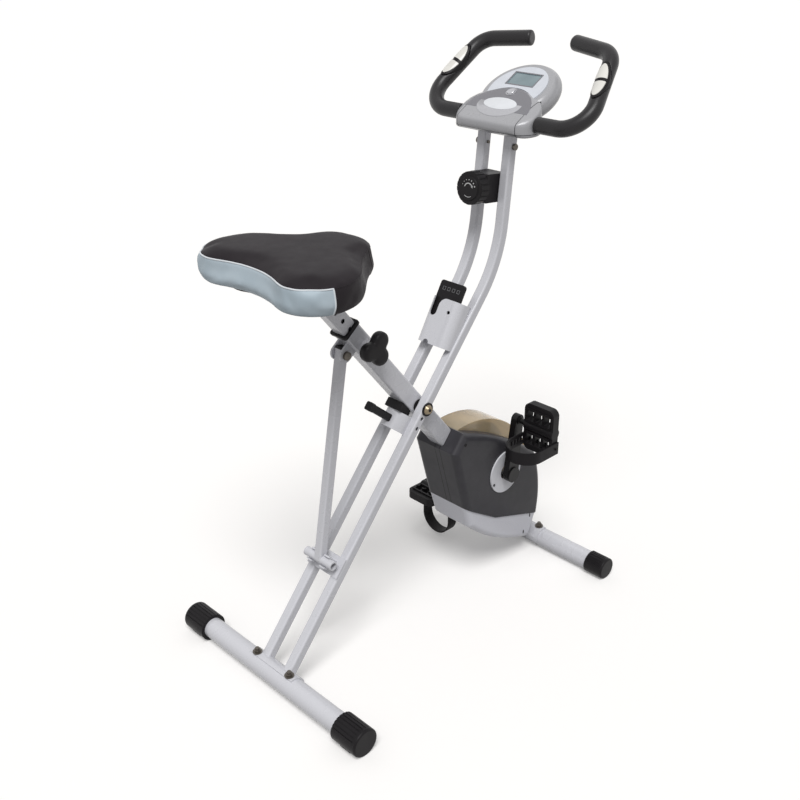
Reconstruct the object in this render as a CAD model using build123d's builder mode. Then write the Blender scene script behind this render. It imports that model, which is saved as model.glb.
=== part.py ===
from build123d import *
import os
from math import cos, radians, sin, sqrt

# Folding upright exercise bike with an X frame.
# +X is the way the rider faces, +Y the rider's left, +Z up.
# The origin is on the floor, under the pivot of the X and midway between the ends.
# All sizes are in millimetres and angles in degrees.

# General clearances
GAP = 0.3
WIDE = 2
RUNNING_FIT = 0.05

# X frame
PIVOT_HEIGHT = 474
REAR_SPAN = 367
FRONT_SPAN = 371
PIVOT_BOLT_DIA = 10
PIVOT_SLEEVE_DIA = 22
PIVOT_WASHER_DIA = 27
PIVOT_WASHER_THICK = 3
PIVOT_HEAD_TAPER = 30
BOLT_HEAD_HEIGHT = 5

# Twin posts that carry the handlebar
POST_SIDE = 20
POST_CORNER = 4
POST_WALL = 1.5
POST_SPACING = 64
POST_BEND_RUN = 320
POST_BEND_RADIUS = 250
POST_LEAN = 5.4
POST_TOP_HEIGHT = 966
POST_HOLE_DIA = 8
POST_HOLE_PITCH = 21

# Main tube that carries the seat and the drive
MAIN_SIDE = 38
MAIN_CORNER = 5
MAIN_WALL = 2
MAIN_TOP = 260

# Stabilizers on the floor
STABILIZER_DIA = 42
FOOT_INSET = 10.5
STABILIZER_WALL = 1.8
REAR_WIDTH = 514
FRONT_WIDTH = 480
REAR_CAP_DIA = 56
REAR_CAP_LENGTH = 62
REAR_CAP_BORE = 17
FRONT_CAP_DIA = 48
FRONT_CAP_LENGTH = 46
FRONT_CAP_BORE = 42
CAP_EDGE = 4
CAP_FLAT = 1
CAP_GROOVES = 9
CAP_GROOVE_WIDTH = 2
CAP_GROOVE_DEPTH = 1.2
CAP_GROOVE_PITCH = 15
SADDLE_THICK = 3
SADDLE_HALF_ANGLE = 58
SADDLE_LENGTH = 124
SADDLE_BOLT_SPACING = 96
SADDLE_BOLT_DIA = 8
SADDLE_NUT_DIA = 13
NUT_SIDES = 6

# Transport rollers in the rear caps
ROLLER_DIA = 16
ROLLER_WIDTH = 22
ROLLER_PROUD = 1.5
ROLLER_PIN_DIA = 4
ROLLER_PIN_REACH = 3
ROLLER_ANGLE = 225
ROLLER_INSET = 31

# Strut between the main tube and the posts
STRUT_SIDE = 18
STRUT_CORNER = 3
STRUT_WALL = 1.5
STRUT_PIVOT_RUN = 233
STRUT_PIVOT_DROP = 37
STRUT_BOLT_DIA = 8
STRUT_BOLT_HEAD = 16
STRUT_TOP_REACH = 10
STRUT_PLUG_HEIGHT = 4
CROSS_TUBE_DIA = 18
CROSS_TUBE_LENGTH = 76
CROSS_TUBE_BORE = 13
CROSS_TUBE_RUN = 343
CROSS_TUBE_RISE = 32
EAR_THICK = 4
EAR_WIDTH = 28
CRADLE_WALL = 3
CRADLE_WIDTH = 50
CRADLE_LIP = 7
CRADLE_PLATE_LENGTH = 40
CRADLE_CLEARANCE = 2

# Half pipe brackets on the back of the posts
PIPE_RADIUS = 27
PIPE_WALL = 2.5
STOP_PIPE_LOW = 64
STOP_PIPE_HIGH = 28
STOP_PIPE_STAND = 15
BUMPER_WIDTH = 40
BUMPER_FRONT = 14
BUMPER_BACK = 45
LOCK_RUN = 47
LOCK_THICK = 15
LOCK_CAP_THICK = 17
LOCK_CORNER = 3.75
LOCK_LENGTH = 64
LOCK_CAP_LENGTH = 9
LOCK_SHANK_DIA = 8
LOCK_SHANK_LENGTH = 26
HOLDER_LOW = 120
HOLDER_LENGTH = 92
HOLDER_TILT = 10
HOLDER_WIDTH = 76
HOLDER_CORNER = 22
HOLDER_SLOT_WIDTH = 18
HOLDER_SLOT_PLACE = 17
HOLDER_SLOT_DEPTH = 38
HOLDER_TONGUE_RADIUS = 16
HOLDER_HOLE_DIA = 7
HOLDER_HOLE_PLACE = -20
HOLDER_HOLE_DROP = 24
HOLDER_NOTCH_DIA = 14
HOLDER_NOTCH_PLACE = 8
INSERT_WIDTH = 62
INSERT_THICK = 5
INSERT_RISE = 34
INSERT_CORNER = 6

# Drive: crank, pedals, belt and flywheel
AXLE_RUN = 312
AXLE_RISE = 35
AXLE_DIA = 16
SHELL_DIA = 38
SHELL_WALL = 2
SHELL_RIGHT = 34
SHELL_LEFT = 20
BEARING_WIDTH = 9
CRANK_LENGTH = 125
CRANK_LEAN = 6
CRANK_THICK = 14
CRANK_BOSS_DIA = 34
CRANK_EYE_DIA = 24
CRANK_INNER = 66
CRANK_BOSS_PROUD = 3
SPINDLE_DIA = 12
PEDAL_CENTER = 135
PEDAL_WIDTH = 74
PEDAL_LENGTH = 104
PEDAL_THICK = 24
PEDAL_CORNER = 14
PEDAL_END_WALL = 6
PEDAL_WINDOWS = 3
PEDAL_WINDOW_PITCH = 21
PEDAL_WINDOW_WIDTH = 15
PEDAL_WINDOW_LENGTH = 22
PEDAL_RIBS = 7
PEDAL_RIB_PITCH = 13
PEDAL_RIB_HEIGHT = 3
PEDAL_RIB_WIDTH = 4
STRAP_WIDTH = 26
STRAP_THICK = 3
RIGHT_STRAP_STAND = 46
RIGHT_STRAP_OFFSET = 32
LEFT_STRAP_STAND = 74
LEFT_STRAP_OFFSET = 20
STRAP_TAIL = 9
STRAP_STUD_DIA = 5
STRAP_HOLE_START = 10
STRAP_HOLE_PITCH = 9
STRAP_HOLES = 5
STRAP_HOLE_WIDTH = 11
STRAP_HOLE_HEIGHT = 5
PULLEY_RADIUS = 80
PULLEY_WIDTH = 6
PULLEY_OFFSET = 24
PULLEY_HOLE_DIA = 30
PULLEY_SPOKES = 6
BELT_THICK = 2
BELT_GAP = 0.4
FLYWHEEL_RADIUS = 58
FLYWHEEL_WIDTH = 24
FLYWHEEL_DISH = 8
FLYWHEEL_OFFSET = 34
FLYWHEEL_RUN = 412
FLYWHEEL_RISE = 30
FLYWHEEL_SHAFT_DIA = 10
FLYWHEEL_PULLEY_RADIUS = 15
FLYWHEEL_EAR = 12
FLYWHEEL_RIM = 14
FLYWHEEL_HUB = 16
MAGNET_GAP = 3.5
MAGNET_THICK = 10
MAGNET_ARC_START = 160
MAGNET_ARC_END = 235
MAGNET_PIN_DIA = 8
MAGNET_EYE_DIA = 16
MAGNET_WIDTH = 14

# Moulded drive housing
HOUSING_HALF_WIDTH = 58
HOUSING_WALL = 3
HOUSING_EDGE = 14
HOUSING_NOSE = 10
HOUSING_COLLAR_LOW = (66, 352)
HOUSING_COLLAR_HIGH = (96, 389)
HOUSING_TOP_MIDDLE = (213, 339)
HOUSING_FRONT_TOP = (330, 262)
HOUSING_FRONT_MIDDLE = (352, 185)
HOUSING_FRONT_LOW = (350, 98)
HOUSING_SEAM_MIDDLE = (200, 150)
HOUSING_SEAM_REAR = (107, 208)
SKIRT_FRONT = (326, 42)
SKIRT_KEEL = (217, 86)
SKIRT_REAR = (124, 156)
SKIRT_STEP = 2
DISC_DIA = 96
DISC_THICK = 3
DISC_BORE = 34
COVER_HALF_WIDTH = 30
COVER_WALL = 2
COVER_REAR = (100, 387)
COVER_TOP = (236, 363)
COVER_FRONT = (328, 264)
COVER_LAND = 6

# Seat and its post
SEAT_POST_SIDE = 32
SEAT_POST_WALL = 2
SEAT_POST_CORNER = 4
SEAT_POST_FIT = 0.1
SEAT_POST_LOW = 130
SEAT_POST_HOLE_DIA = 9
SEAT_POST_HOLE_PITCH = 25
SEAT_POST_HOLES = 7
COLLAR_SIDE = 43
COLLAR_THICK = 6
COLLAR_EDGE = 1.5
COLLAR_SLEEVE = 30
SEAT_BASE_HEIGHT = 783
SEAT_SIDE_RISE = 17
SEAT_PIPING_RISE = 48
SEAT_CROWN = 10
SEAT_CENTER = -244
SEAT_REAR_NOTCH = (-120, 0)
SEAT_REAR_LOBE = (-134, 75)
SEAT_WIDEST = (-70, 169)
SEAT_FLANK = (14, 130)
SEAT_WAIST = (88, 66)
SEAT_NOSE = (124, 0)
SEAT_BASE_SHARE = 0.94
SEAT_PIPING_SHARE = 0.99
SEAT_SHOULDERS = ((0.4, 0.96), (0.7, 0.89), (0.88, 0.77), (0.97, 0.58), (1, 0.3))
SEAT_PAN_SHARE = 0.7
SEAT_PAN_THICK = 11
SEAT_PAN_EDGE = 3.6
SEAT_PLATE_THICK = 4
SEAT_PLATE_LENGTH = 110
SEAT_PLATE_WIDTH = 80
KNOB_RUN = 215
KNOB_BOSS_DIA = 20
KNOB_BOSS_LENGTH = 18
KNOB_LOBES = 3
KNOB_LOBE_DIA = 30
KNOB_LOBE_REACH = 17
KNOB_THICK = 15
KNOB_EDGE = 3
KNOB_GAP = 3
SEAT_PIN_DIA = 8

# Handlebar
BAR_DIA = 22
BAR_WALL = 1.5
GRIP_DIA = 30
BAR_LOW_CORNER = (227, 198, 984)
BAR_HIGH_CORNER = (353, 156, 1101)
BAR_END = (377, 55, 1109)
BAR_LOW_BEND = 50
BAR_HIGH_BEND = 45
GRIP_START = 91
GRIP_END = 4
PULSE_PLACE = 0.6
PULSE_FACING = (-0.75, 0, 0.65)
PULSE_LENGTH = 80
PULSE_WIDTH = 30
PULSE_PROUD = 1.5
PULSE_LEAF_THICK = 1
PULSE_LEAF_LENGTH = 70
PULSE_LEAF_WIDTH = 24
PULSE_BAND = 7

# Head bracket, console and tension knob
HEAD_DEPTH = 18
HEAD_WALL = 3
HEAD_LOW = 905
HEAD_RING_DIA = 26
HEAD_BOLT_HEIGHT = 938
HEAD_BOLT_DIA = 12
HEAD_BOLT_SHANK = 6
CONSOLE_TILT = 30
CONSOLE_RADIUS = 70
CONSOLE_BELLY = (80, -20)
CONSOLE_BACK_RADIUS = 72
CONSOLE_CENTER = (277, 1033)
CONSOLE_THICK = 34
CONSOLE_EDGE = 2.5
FACE_RADIUS = 60
FACE_THICK = 2
LCD_LENGTH = 62
LCD_HEIGHT = 33
LCD_OFFSET = 23
LCD_THICK = 1
BASE_HALF_LENGTH = 90
BASE_LOW = 961
BASE_REAR = 185
BASE_REAR_HEIGHT = 970
BASE_FRONT = 264
BASE_SINK = 3
BASE_CHAMFER = 14
BASE_CORNER = 36
BASE_WALL = 3
COWL_RADIUS = 76
COWL_OFFSET = -79
COWL_RISE = 4
COWL_EDGE = 1.5
BUTTON_DIA = 16
BUTTON_OFFSET = -18
BUTTON_PROUD = 3
BUTTON_DEPTH = 6
BUTTON_TRAVEL = 1.5
TENSION_HEIGHT = 860
TENSION_KNOB_DIA = 62
TENSION_KNOB_THICK = 22
TENSION_FLUTES = 18
TENSION_FLUTE_DIA = 3
TENSION_FACE_DIA = 46
TENSION_FACE_PROUD = 2
TENSION_SHAFT_DIA = 8
TENSION_SHAFT_LENGTH = 16
TENSION_MOUNT_HEIGHT = 54
TENSION_MOUNT_REACH = 35

os.makedirs("parts", exist_ok=True)

SIDES = (("right", -1), ("left", 1))

# Frame geometry worked out from the driving sizes
rear_axis_height = REAR_CAP_DIA / 2 - CAP_FLAT
front_axis_height = FRONT_CAP_DIA / 2 - CAP_FLAT
rear_axis = Vector(-REAR_SPAN, 0, rear_axis_height)
front_axis = Vector(FRONT_SPAN, 0, front_axis_height)
pivot = Vector(0, 0, PIVOT_HEIGHT)
post_along = (pivot - rear_axis).normalized()
main_along = (pivot - front_axis).normalized()

# Side planes through the pivot: x runs up the member, y away from it
post_side = Plane(origin=pivot, x_dir=post_along, z_dir=(0, -1, 0))
main_side = Plane(origin=pivot, x_dir=main_along, z_dir=(0, 1, 0))


def on_post(run, rise):
    """Point beside the lower run of the posts: run up from the pivot, rise to the rear."""
    return post_side.from_local_coords(Vector(run, rise, 0))


def on_main(run, rise):
    """Point beside the main tube: run up towards the seat, rise up and forward."""
    return main_side.from_local_coords(Vector(run, rise, 0))


def across_post(run):
    """Plane square to the posts, with x to the rider's left and y to the rear."""
    return Plane(origin=on_post(run, 0), x_dir=(0, 1, 0), z_dir=post_along)


def across_main(run):
    """Plane square to the main tube, with x to the rider's left and y down and back."""
    return Plane(origin=on_main(run, 0), x_dir=(0, 1, 0), z_dir=main_along)


def sideways(point, offset=0):
    """Plane facing the rider's left through a point, with x to the rear and y up."""
    return Plane(origin=(point.X, offset, point.Z), x_dir=(-1, 0, 0), z_dir=(0, 1, 0))


def save(piece, label):
    piece.part.label = label
    export_step(piece.part, f"parts/{label}.step")


# Twin posts: straight from the rear foot, a long bend, then nearly upright
bend_point = on_post(POST_BEND_RUN, 0)
lean_rise = POST_TOP_HEIGHT - bend_point.Z
upper_along = Vector(sin(radians(POST_LEAN)), 0, cos(radians(POST_LEAN)))
post_top = bend_point + upper_along * (lean_rise / upper_along.Z)
post_bore = POST_SIDE - 2 * POST_WALL
saddle_outer = STABILIZER_DIA / 2 + RUNNING_FIT + SADDLE_THICK
foot_start = rear_axis + post_along * FOOT_INSET


def upper_post(height):
    """Point on the centre line of the upper run of the posts, between the two."""
    return bend_point + upper_along * ((height - bend_point.Z) / upper_along.Z)


def upper_plane(height):
    """Plane square to the upper run of the posts, with x forward and y to the left."""
    return Plane(origin=upper_post(height), x_dir=(upper_along.Z, 0, -upper_along.X), z_dir=upper_along)


for side, sign in SIDES:
    shift = Vector(0, sign * POST_SPACING / 2, 0)
    with BuildPart() as post:
        with BuildLine() as post_line:
            FilletPolyline(
                foot_start + shift,
                bend_point + shift,
                post_top + shift,
                radius=POST_BEND_RADIUS,
            )
        with BuildSketch(Plane(origin=foot_start + shift, x_dir=(0, 1, 0), z_dir=post_along)):
            RectangleRounded(POST_SIDE, POST_SIDE, POST_CORNER)
            RectangleRounded(post_bore, post_bore, POST_CORNER - POST_WALL, mode=Mode.SUBTRACT)
        sweep(path=post_line.wire())
        with BuildSketch(sideways(rear_axis)):
            Circle(saddle_outer)
        extrude(amount=POST_SPACING, both=True, mode=Mode.SUBTRACT)
        with BuildSketch(sideways(pivot)):
            Circle(PIVOT_BOLT_DIA / 2 + RUNNING_FIT)
        extrude(amount=POST_SPACING, both=True, mode=Mode.SUBTRACT)
        with BuildSketch(post_side):
            with Locations((-POST_HOLE_PITCH, 0), (-2 * POST_HOLE_PITCH, 0)):
                Circle(POST_HOLE_DIA / 2)
        extrude(amount=POST_SPACING, both=True, mode=Mode.SUBTRACT)
        with BuildSketch(sideways(upper_post(HEAD_BOLT_HEIGHT))):
            Circle(HEAD_BOLT_SHANK / 2 + RUNNING_FIT)
        extrude(amount=POST_SPACING, both=True, mode=Mode.SUBTRACT)
    save(post, f"post_tube_{side}")


# Stabilizers: a round tube, a saddle that the frame stands on, and end caps
def saddle_sketch(outer):
    """Part of a ring that wraps the upper side of a stabilizer."""
    reach = 2 * outer
    half = radians(SADDLE_HALF_ANGLE)
    Circle(outer)
    Circle(STABILIZER_DIA / 2 + RUNNING_FIT, mode=Mode.SUBTRACT)
    corner = (reach * cos(half), reach * sin(half))
    wedge = ((0, 0), (corner[0], -corner[1]), (reach, 0), corner)
    Polygon(*wedge, align=None, mode=Mode.INTERSECT)


def stabilizer_plane(axis, along):
    """Plane square to a stabilizer, with x along the member that stands on it."""
    return Plane(origin=axis, x_dir=along, z_dir=(0, -1, 0))


saddle_bolts = GridLocations(0, SADDLE_BOLT_SPACING, 1, 2)
rear_plane = stabilizer_plane(rear_axis, post_along)
front_plane = stabilizer_plane(front_axis, main_along)

with BuildPart() as rear_foot:
    with BuildSketch(rear_plane):
        saddle_sketch(saddle_outer)
    extrude(amount=SADDLE_LENGTH / 2, both=True)
    with BuildSketch(Plane(origin=rear_axis, x_dir=(-1, 0, 0), z_dir=(0, 0, 1))):
        with saddle_bolts:
            Circle(SADDLE_BOLT_DIA / 2 + RUNNING_FIT)
    extrude(amount=STABILIZER_DIA, mode=Mode.SUBTRACT)
save(rear_foot, "rear_foot_plate")


def stabilizer(axis, half, label):
    """Round tube across the bike, cut for its two upright bolts."""
    with BuildPart() as tube:
        with BuildSketch(sideways(axis)):
            Circle(STABILIZER_DIA / 2)
            Circle(STABILIZER_DIA / 2 - STABILIZER_WALL, mode=Mode.SUBTRACT)
        extrude(amount=half, both=True)
        with BuildSketch(Plane(origin=axis, x_dir=(-1, 0, 0), z_dir=(0, 0, 1))):
            with saddle_bolts:
                Circle(SADDLE_BOLT_DIA / 2 + RUNNING_FIT)
        extrude(amount=STABILIZER_DIA, both=True, mode=Mode.SUBTRACT)
    save(tube, label)


rear_tube_half = REAR_WIDTH / 2 - REAR_CAP_LENGTH + REAR_CAP_BORE - GAP
front_tube_half = FRONT_WIDTH / 2 - FRONT_CAP_LENGTH + FRONT_CAP_BORE - GAP
stabilizer(rear_axis, rear_tube_half, "rear_stabilizer")
stabilizer(front_axis, front_tube_half, "front_stabilizer")

roller_orbit = REAR_CAP_DIA / 2 + ROLLER_PROUD - ROLLER_DIA / 2
roller_swing = Vector(cos(radians(ROLLER_ANGLE)), 0, sin(radians(ROLLER_ANGLE)))
roller_center = rear_axis + roller_swing * roller_orbit
roller_place = REAR_WIDTH / 2 - ROLLER_INSET
pocket_half = ROLLER_WIDTH / 2 + GAP
pin_half = pocket_half + ROLLER_PIN_REACH


groove_sweep = CAP_GROOVE_PITCH * CAP_GROOVES
groove_start = 90 - CAP_GROOVE_PITCH * (CAP_GROOVES - 1) / 2


def end_cap(axis, width, diameter, length, bore, sign, rolling):
    """Ribbed plastic cup over the end of a stabilizer, flat where it stands on the floor."""
    inner = sign * (width / 2 - length)
    outer = sign * width / 2
    with BuildPart() as cap:
        with BuildSketch(sideways(axis, inner)):
            Circle(diameter / 2)
        extrude(amount=sign * length)
        fillet(cap.faces().sort_by(Axis.Y)[-1 if sign > 0 else 0].edges(), CAP_EDGE)
        with BuildSketch(sideways(axis, inner)):
            Circle(STABILIZER_DIA / 2 + RUNNING_FIT)
        extrude(amount=sign * bore, mode=Mode.SUBTRACT)
        with BuildSketch(sideways(axis, inner)):
            with PolarLocations(diameter / 2, CAP_GROOVES, groove_start, groove_sweep):
                Rectangle(2 * CAP_GROOVE_DEPTH, CAP_GROOVE_WIDTH)
        extrude(amount=sign * (length - 2 * CAP_EDGE), mode=Mode.SUBTRACT)
        with BuildSketch(Plane.XY):
            with Locations((axis.X, (inner + outer) / 2)):
                Rectangle(diameter, 2 * length)
        extrude(amount=-diameter, mode=Mode.SUBTRACT)
        if rolling:
            with BuildSketch(sideways(roller_center, sign * roller_place)):
                Circle(ROLLER_DIA / 2 + 2 * GAP)
            extrude(amount=pocket_half, both=True, mode=Mode.SUBTRACT)
            with BuildSketch(sideways(roller_center, sign * roller_place)):
                Circle(ROLLER_PIN_DIA / 2)
            extrude(amount=pin_half, both=True, mode=Mode.SUBTRACT)
    return cap


for side, sign in SIDES:
    rear_cap = end_cap(
        rear_axis, REAR_WIDTH, REAR_CAP_DIA, REAR_CAP_LENGTH, REAR_CAP_BORE, sign, True
    )
    save(rear_cap, f"rear_cap_{side}")
    front_cap = end_cap(
        front_axis, FRONT_WIDTH, FRONT_CAP_DIA, FRONT_CAP_LENGTH, FRONT_CAP_BORE, sign, False
    )
    save(front_cap, f"front_cap_{side}")
    with BuildPart() as roller:
        with BuildSketch(sideways(roller_center, sign * roller_place)):
            Circle(ROLLER_DIA / 2)
            Circle(ROLLER_PIN_DIA / 2 + RUNNING_FIT, mode=Mode.SUBTRACT)
        extrude(amount=ROLLER_WIDTH / 2, both=True)
    save(roller, f"roller_{side}")

# Brackets on the back of the posts
post_back = POST_SIDE / 2


def half_pipe(stand, leg):
    """Section of a half pipe that bulges to the rear, on legs, in a plane across the posts."""
    with Locations((0, stand)):
        Circle(PIPE_RADIUS)
    with Locations((0, stand - leg / 2)):
        Rectangle(2 * PIPE_RADIUS, leg)
    with Locations((0, stand)):
        Circle(PIPE_RADIUS - PIPE_WALL, mode=Mode.SUBTRACT)
    with Locations((0, stand - leg / 2)):
        Rectangle(2 * (PIPE_RADIUS - PIPE_WALL), leg, mode=Mode.SUBTRACT)


def clear_of_posts():
    """Everything in front of the back faces of the posts, as a rectangle on their side plane."""
    with Locations((0, post_back - PIPE_RADIUS * 2)):
        Rectangle(2 * WIDE * POST_BEND_RUN, 2 * WIDE * PIPE_RADIUS)


stop_back = STOP_PIPE_STAND + PIPE_RADIUS
with BuildPart() as stop_bracket:
    with BuildSketch(across_post(-STOP_PIPE_LOW)):
        half_pipe(STOP_PIPE_STAND, 2 * PIPE_RADIUS)
    extrude(amount=STOP_PIPE_LOW - STOP_PIPE_HIGH)
    with BuildSketch(post_side):
        clear_of_posts()
    extrude(amount=POST_SPACING, both=True, mode=Mode.SUBTRACT)
    with BuildSketch(Plane(origin=on_post(-LOCK_RUN, 0), x_dir=(0, 1, 0), z_dir=post_side.y_dir)):
        Circle(LOCK_SHANK_DIA / 2 + RUNNING_FIT)
    extrude(amount=2 * stop_back, mode=Mode.SUBTRACT)
save(stop_bracket, "stop_bracket")

# Rubber bumper on the upper rim of the stop bracket, under the main tube
main_on_post = main_along.dot(post_along)
main_off_post = main_along.dot(post_side.y_dir)


def under_main(rise):
    """Run along the posts of the underside of the main tube, at a rise behind the posts."""
    reach = MAIN_SIDE / 2 + GAP
    low = Vector(-reach * main_off_post, reach * main_on_post)
    return low.X + (rise - low.Y) * main_on_post / main_off_post


with BuildPart() as bumper:
    with BuildSketch(post_side):
        with BuildLine():
            Polyline(
                (-STOP_PIPE_HIGH, BUMPER_FRONT),
                (under_main(BUMPER_FRONT), BUMPER_FRONT),
                (under_main(BUMPER_BACK), BUMPER_BACK),
                (-STOP_PIPE_HIGH, BUMPER_BACK),
                close=True,
            )
        make_face()
    extrude(amount=BUMPER_WIDTH / 2, both=True)
save(bumper, "stop_bumper")

# Pull pin in the stop bracket: a square black handle on a round shank
lock_start = on_post(-LOCK_RUN, stop_back + GAP)
lock_plane = Plane(origin=lock_start, x_dir=(0, 1, 0), z_dir=post_side.y_dir)
with BuildPart() as lock_pin:
    with BuildSketch(lock_plane):
        RectangleRounded(LOCK_THICK, LOCK_THICK, LOCK_CORNER)
    extrude(amount=LOCK_LENGTH)
    with BuildSketch(lock_plane):
        Circle(LOCK_SHANK_DIA / 2)
    extrude(amount=-LOCK_SHANK_LENGTH)
    with BuildSketch(lock_plane.offset(LOCK_LENGTH - LOCK_CAP_LENGTH)):
        RectangleRounded(LOCK_CAP_THICK, LOCK_CAP_THICK, LOCK_CORNER)
    extrude(amount=LOCK_CAP_LENGTH)
save(lock_pin, "lock_pin")

# Holder bracket near the bend: a half pipe that flares away from the posts
holder_along = post_along.rotate(Axis((0, 0, 0), (0, -1, 0)), HOLDER_TILT)
holder_plane = Plane(origin=on_post(HOLDER_LOW, 0), x_dir=(0, 1, 0), z_dir=holder_along)
holder_top = holder_plane.offset(HOLDER_LENGTH)
holder_face = Plane(origin=holder_top.origin, x_dir=(0, 1, 0), z_dir=holder_plane.y_dir)
holder_bore = HOLDER_WIDTH - 2 * PIPE_WALL
inner_corner = HOLDER_CORNER - PIPE_WALL
tongue_edge = HOLDER_SLOT_PLACE - HOLDER_SLOT_WIDTH / 2
with BuildPart() as holder:
    with BuildSketch(holder_plane):
        with Locations((0, post_back)):
            RectangleRounded(HOLDER_WIDTH, 2 * PIPE_RADIUS, HOLDER_CORNER)
            RectangleRounded(
                holder_bore,
                2 * (PIPE_RADIUS - PIPE_WALL),
                inner_corner,
                mode=Mode.SUBTRACT,
            )
    extrude(amount=HOLDER_LENGTH)
    with BuildSketch(post_side):
        clear_of_posts()
    extrude(amount=POST_SPACING, both=True, mode=Mode.SUBTRACT)
    with BuildSketch(holder_face):
        with Locations((HOLDER_SLOT_PLACE, 0)):
            SlotOverall(2 * HOLDER_SLOT_DEPTH, HOLDER_SLOT_WIDTH, rotation=90)
        with Locations((tongue_edge - HOLDER_TONGUE_RADIUS / 2, HOLDER_TONGUE_RADIUS / 2)):
            Rectangle(HOLDER_TONGUE_RADIUS, HOLDER_TONGUE_RADIUS)
        with Locations((tongue_edge - HOLDER_TONGUE_RADIUS, HOLDER_TONGUE_RADIUS)):
            Circle(HOLDER_TONGUE_RADIUS, mode=Mode.SUBTRACT)
        with Locations((HOLDER_HOLE_PLACE, HOLDER_HOLE_DROP)):
            Circle(HOLDER_HOLE_DIA / 2)
        with Locations((HOLDER_NOTCH_PLACE, HOLDER_LENGTH)):
            Circle(HOLDER_NOTCH_DIA / 2)
    extrude(amount=2 * PIPE_RADIUS, mode=Mode.SUBTRACT)
save(holder, "holder_bracket")

# Black plate that stands in the holder, seen through its slot and above its tongue
corner_run = (INSERT_WIDTH - holder_bore) / 2 + inner_corner
corner_depth = sqrt(inner_corner**2 - corner_run**2)
insert_back = post_back + PIPE_RADIUS - HOLDER_CORNER + corner_depth - GAP
with BuildPart() as insert:
    with BuildSketch(holder_face.offset(insert_back)):
        with Locations((0, (HOLDER_SLOT_DEPTH - INSERT_RISE) / 2)):
            RectangleRounded(INSERT_WIDTH, HOLDER_SLOT_DEPTH + INSERT_RISE, INSERT_CORNER)
    extrude(amount=-INSERT_THICK)
save(insert, "bracket_insert")

# Strut cradle: two hooks on a plate across the posts, open to the rear
cross_center = on_post(-CROSS_TUBE_RUN, CROSS_TUBE_RISE)
cradle_inner = CROSS_TUBE_DIA / 2 + GAP
cradle_outer = cradle_inner + CRADLE_WALL
with BuildPart() as cradle:
    with BuildSketch(post_side):
        with Locations((-CROSS_TUBE_RUN, CROSS_TUBE_RISE)):
            Circle(cradle_outer)
        with Locations((-CROSS_TUBE_RUN, CROSS_TUBE_RISE + CRADLE_LIP / 2)):
            Rectangle(2 * cradle_outer, CRADLE_LIP)
        with Locations((-CROSS_TUBE_RUN, (CROSS_TUBE_RISE + post_back) / 2)):
            Rectangle(2 * cradle_inner, CROSS_TUBE_RISE - post_back)
        with Locations((-CROSS_TUBE_RUN, CROSS_TUBE_RISE)):
            Circle(cradle_inner, mode=Mode.SUBTRACT)
        with Locations((-CROSS_TUBE_RUN, CROSS_TUBE_RISE + cradle_outer)):
            Rectangle(2 * cradle_inner, 2 * cradle_outer, mode=Mode.SUBTRACT)
    extrude(amount=CRADLE_WIDTH / 2, both=True)
    with BuildSketch(post_side):
        with Locations((-CROSS_TUBE_RUN, CROSS_TUBE_RISE)):
            Rectangle(2 * WIDE * cradle_outer, 2 * WIDE * cradle_outer)
    extrude(amount=STRUT_SIDE / 2 + CRADLE_CLEARANCE, both=True, mode=Mode.SUBTRACT)
    with BuildSketch(post_side):
        with Locations((-CROSS_TUBE_RUN, post_back + CRADLE_WALL / 2)):
            Rectangle(CRADLE_PLATE_LENGTH, CRADLE_WALL)
    extrude(amount=(POST_SPACING + POST_SIDE) / 2, both=True)
save(cradle, "strut_cradle")

# Strut: a square tube from the main tube down to a cross tube that lies in the cradle
strut_pivot = on_main(STRUT_PIVOT_RUN, -STRUT_PIVOT_DROP)
strut_vector = cross_center - strut_pivot
strut_length = strut_vector.length
strut_along = strut_vector.normalized()
strut_plane = Plane(origin=strut_pivot - strut_along * STRUT_TOP_REACH, x_dir=(0, 1, 0), z_dir=strut_along)
strut_bore = STRUT_SIDE - 2 * STRUT_WALL
with BuildPart() as strut:
    with BuildSketch(strut_plane):
        RectangleRounded(STRUT_SIDE, STRUT_SIDE, STRUT_CORNER)
        RectangleRounded(strut_bore, strut_bore, STRUT_CORNER - STRUT_WALL, mode=Mode.SUBTRACT)
    extrude(amount=STRUT_TOP_REACH + strut_length)
    with BuildSketch(sideways(strut_pivot)):
        Circle(STRUT_BOLT_DIA)
    extrude(amount=STRUT_SIDE / 2, both=True)
    with BuildSketch(sideways(cross_center)):
        Circle(CROSS_TUBE_DIA / 2)
    extrude(amount=CROSS_TUBE_LENGTH / 2, both=True)
    with BuildSketch(sideways(cross_center)):
        Circle(CROSS_TUBE_BORE / 2)
    extrude(amount=CROSS_TUBE_LENGTH / 2, both=True, mode=Mode.SUBTRACT)
    with BuildSketch(sideways(strut_pivot)):
        Circle(STRUT_BOLT_DIA / 2 + RUNNING_FIT)
    extrude(amount=STRUT_SIDE, both=True, mode=Mode.SUBTRACT)
save(strut, "strut_tube")

with BuildPart() as strut_plug:
    with BuildSketch(strut_plane):
        RectangleRounded(STRUT_SIDE, STRUT_SIDE, STRUT_CORNER)
    extrude(amount=-STRUT_PLUG_HEIGHT)
    fillet(strut_plug.faces().sort_by(Axis.Z)[-1].edges(), STRUT_PLUG_HEIGHT / 2)
save(strut_plug, "strut_plugs")

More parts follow.
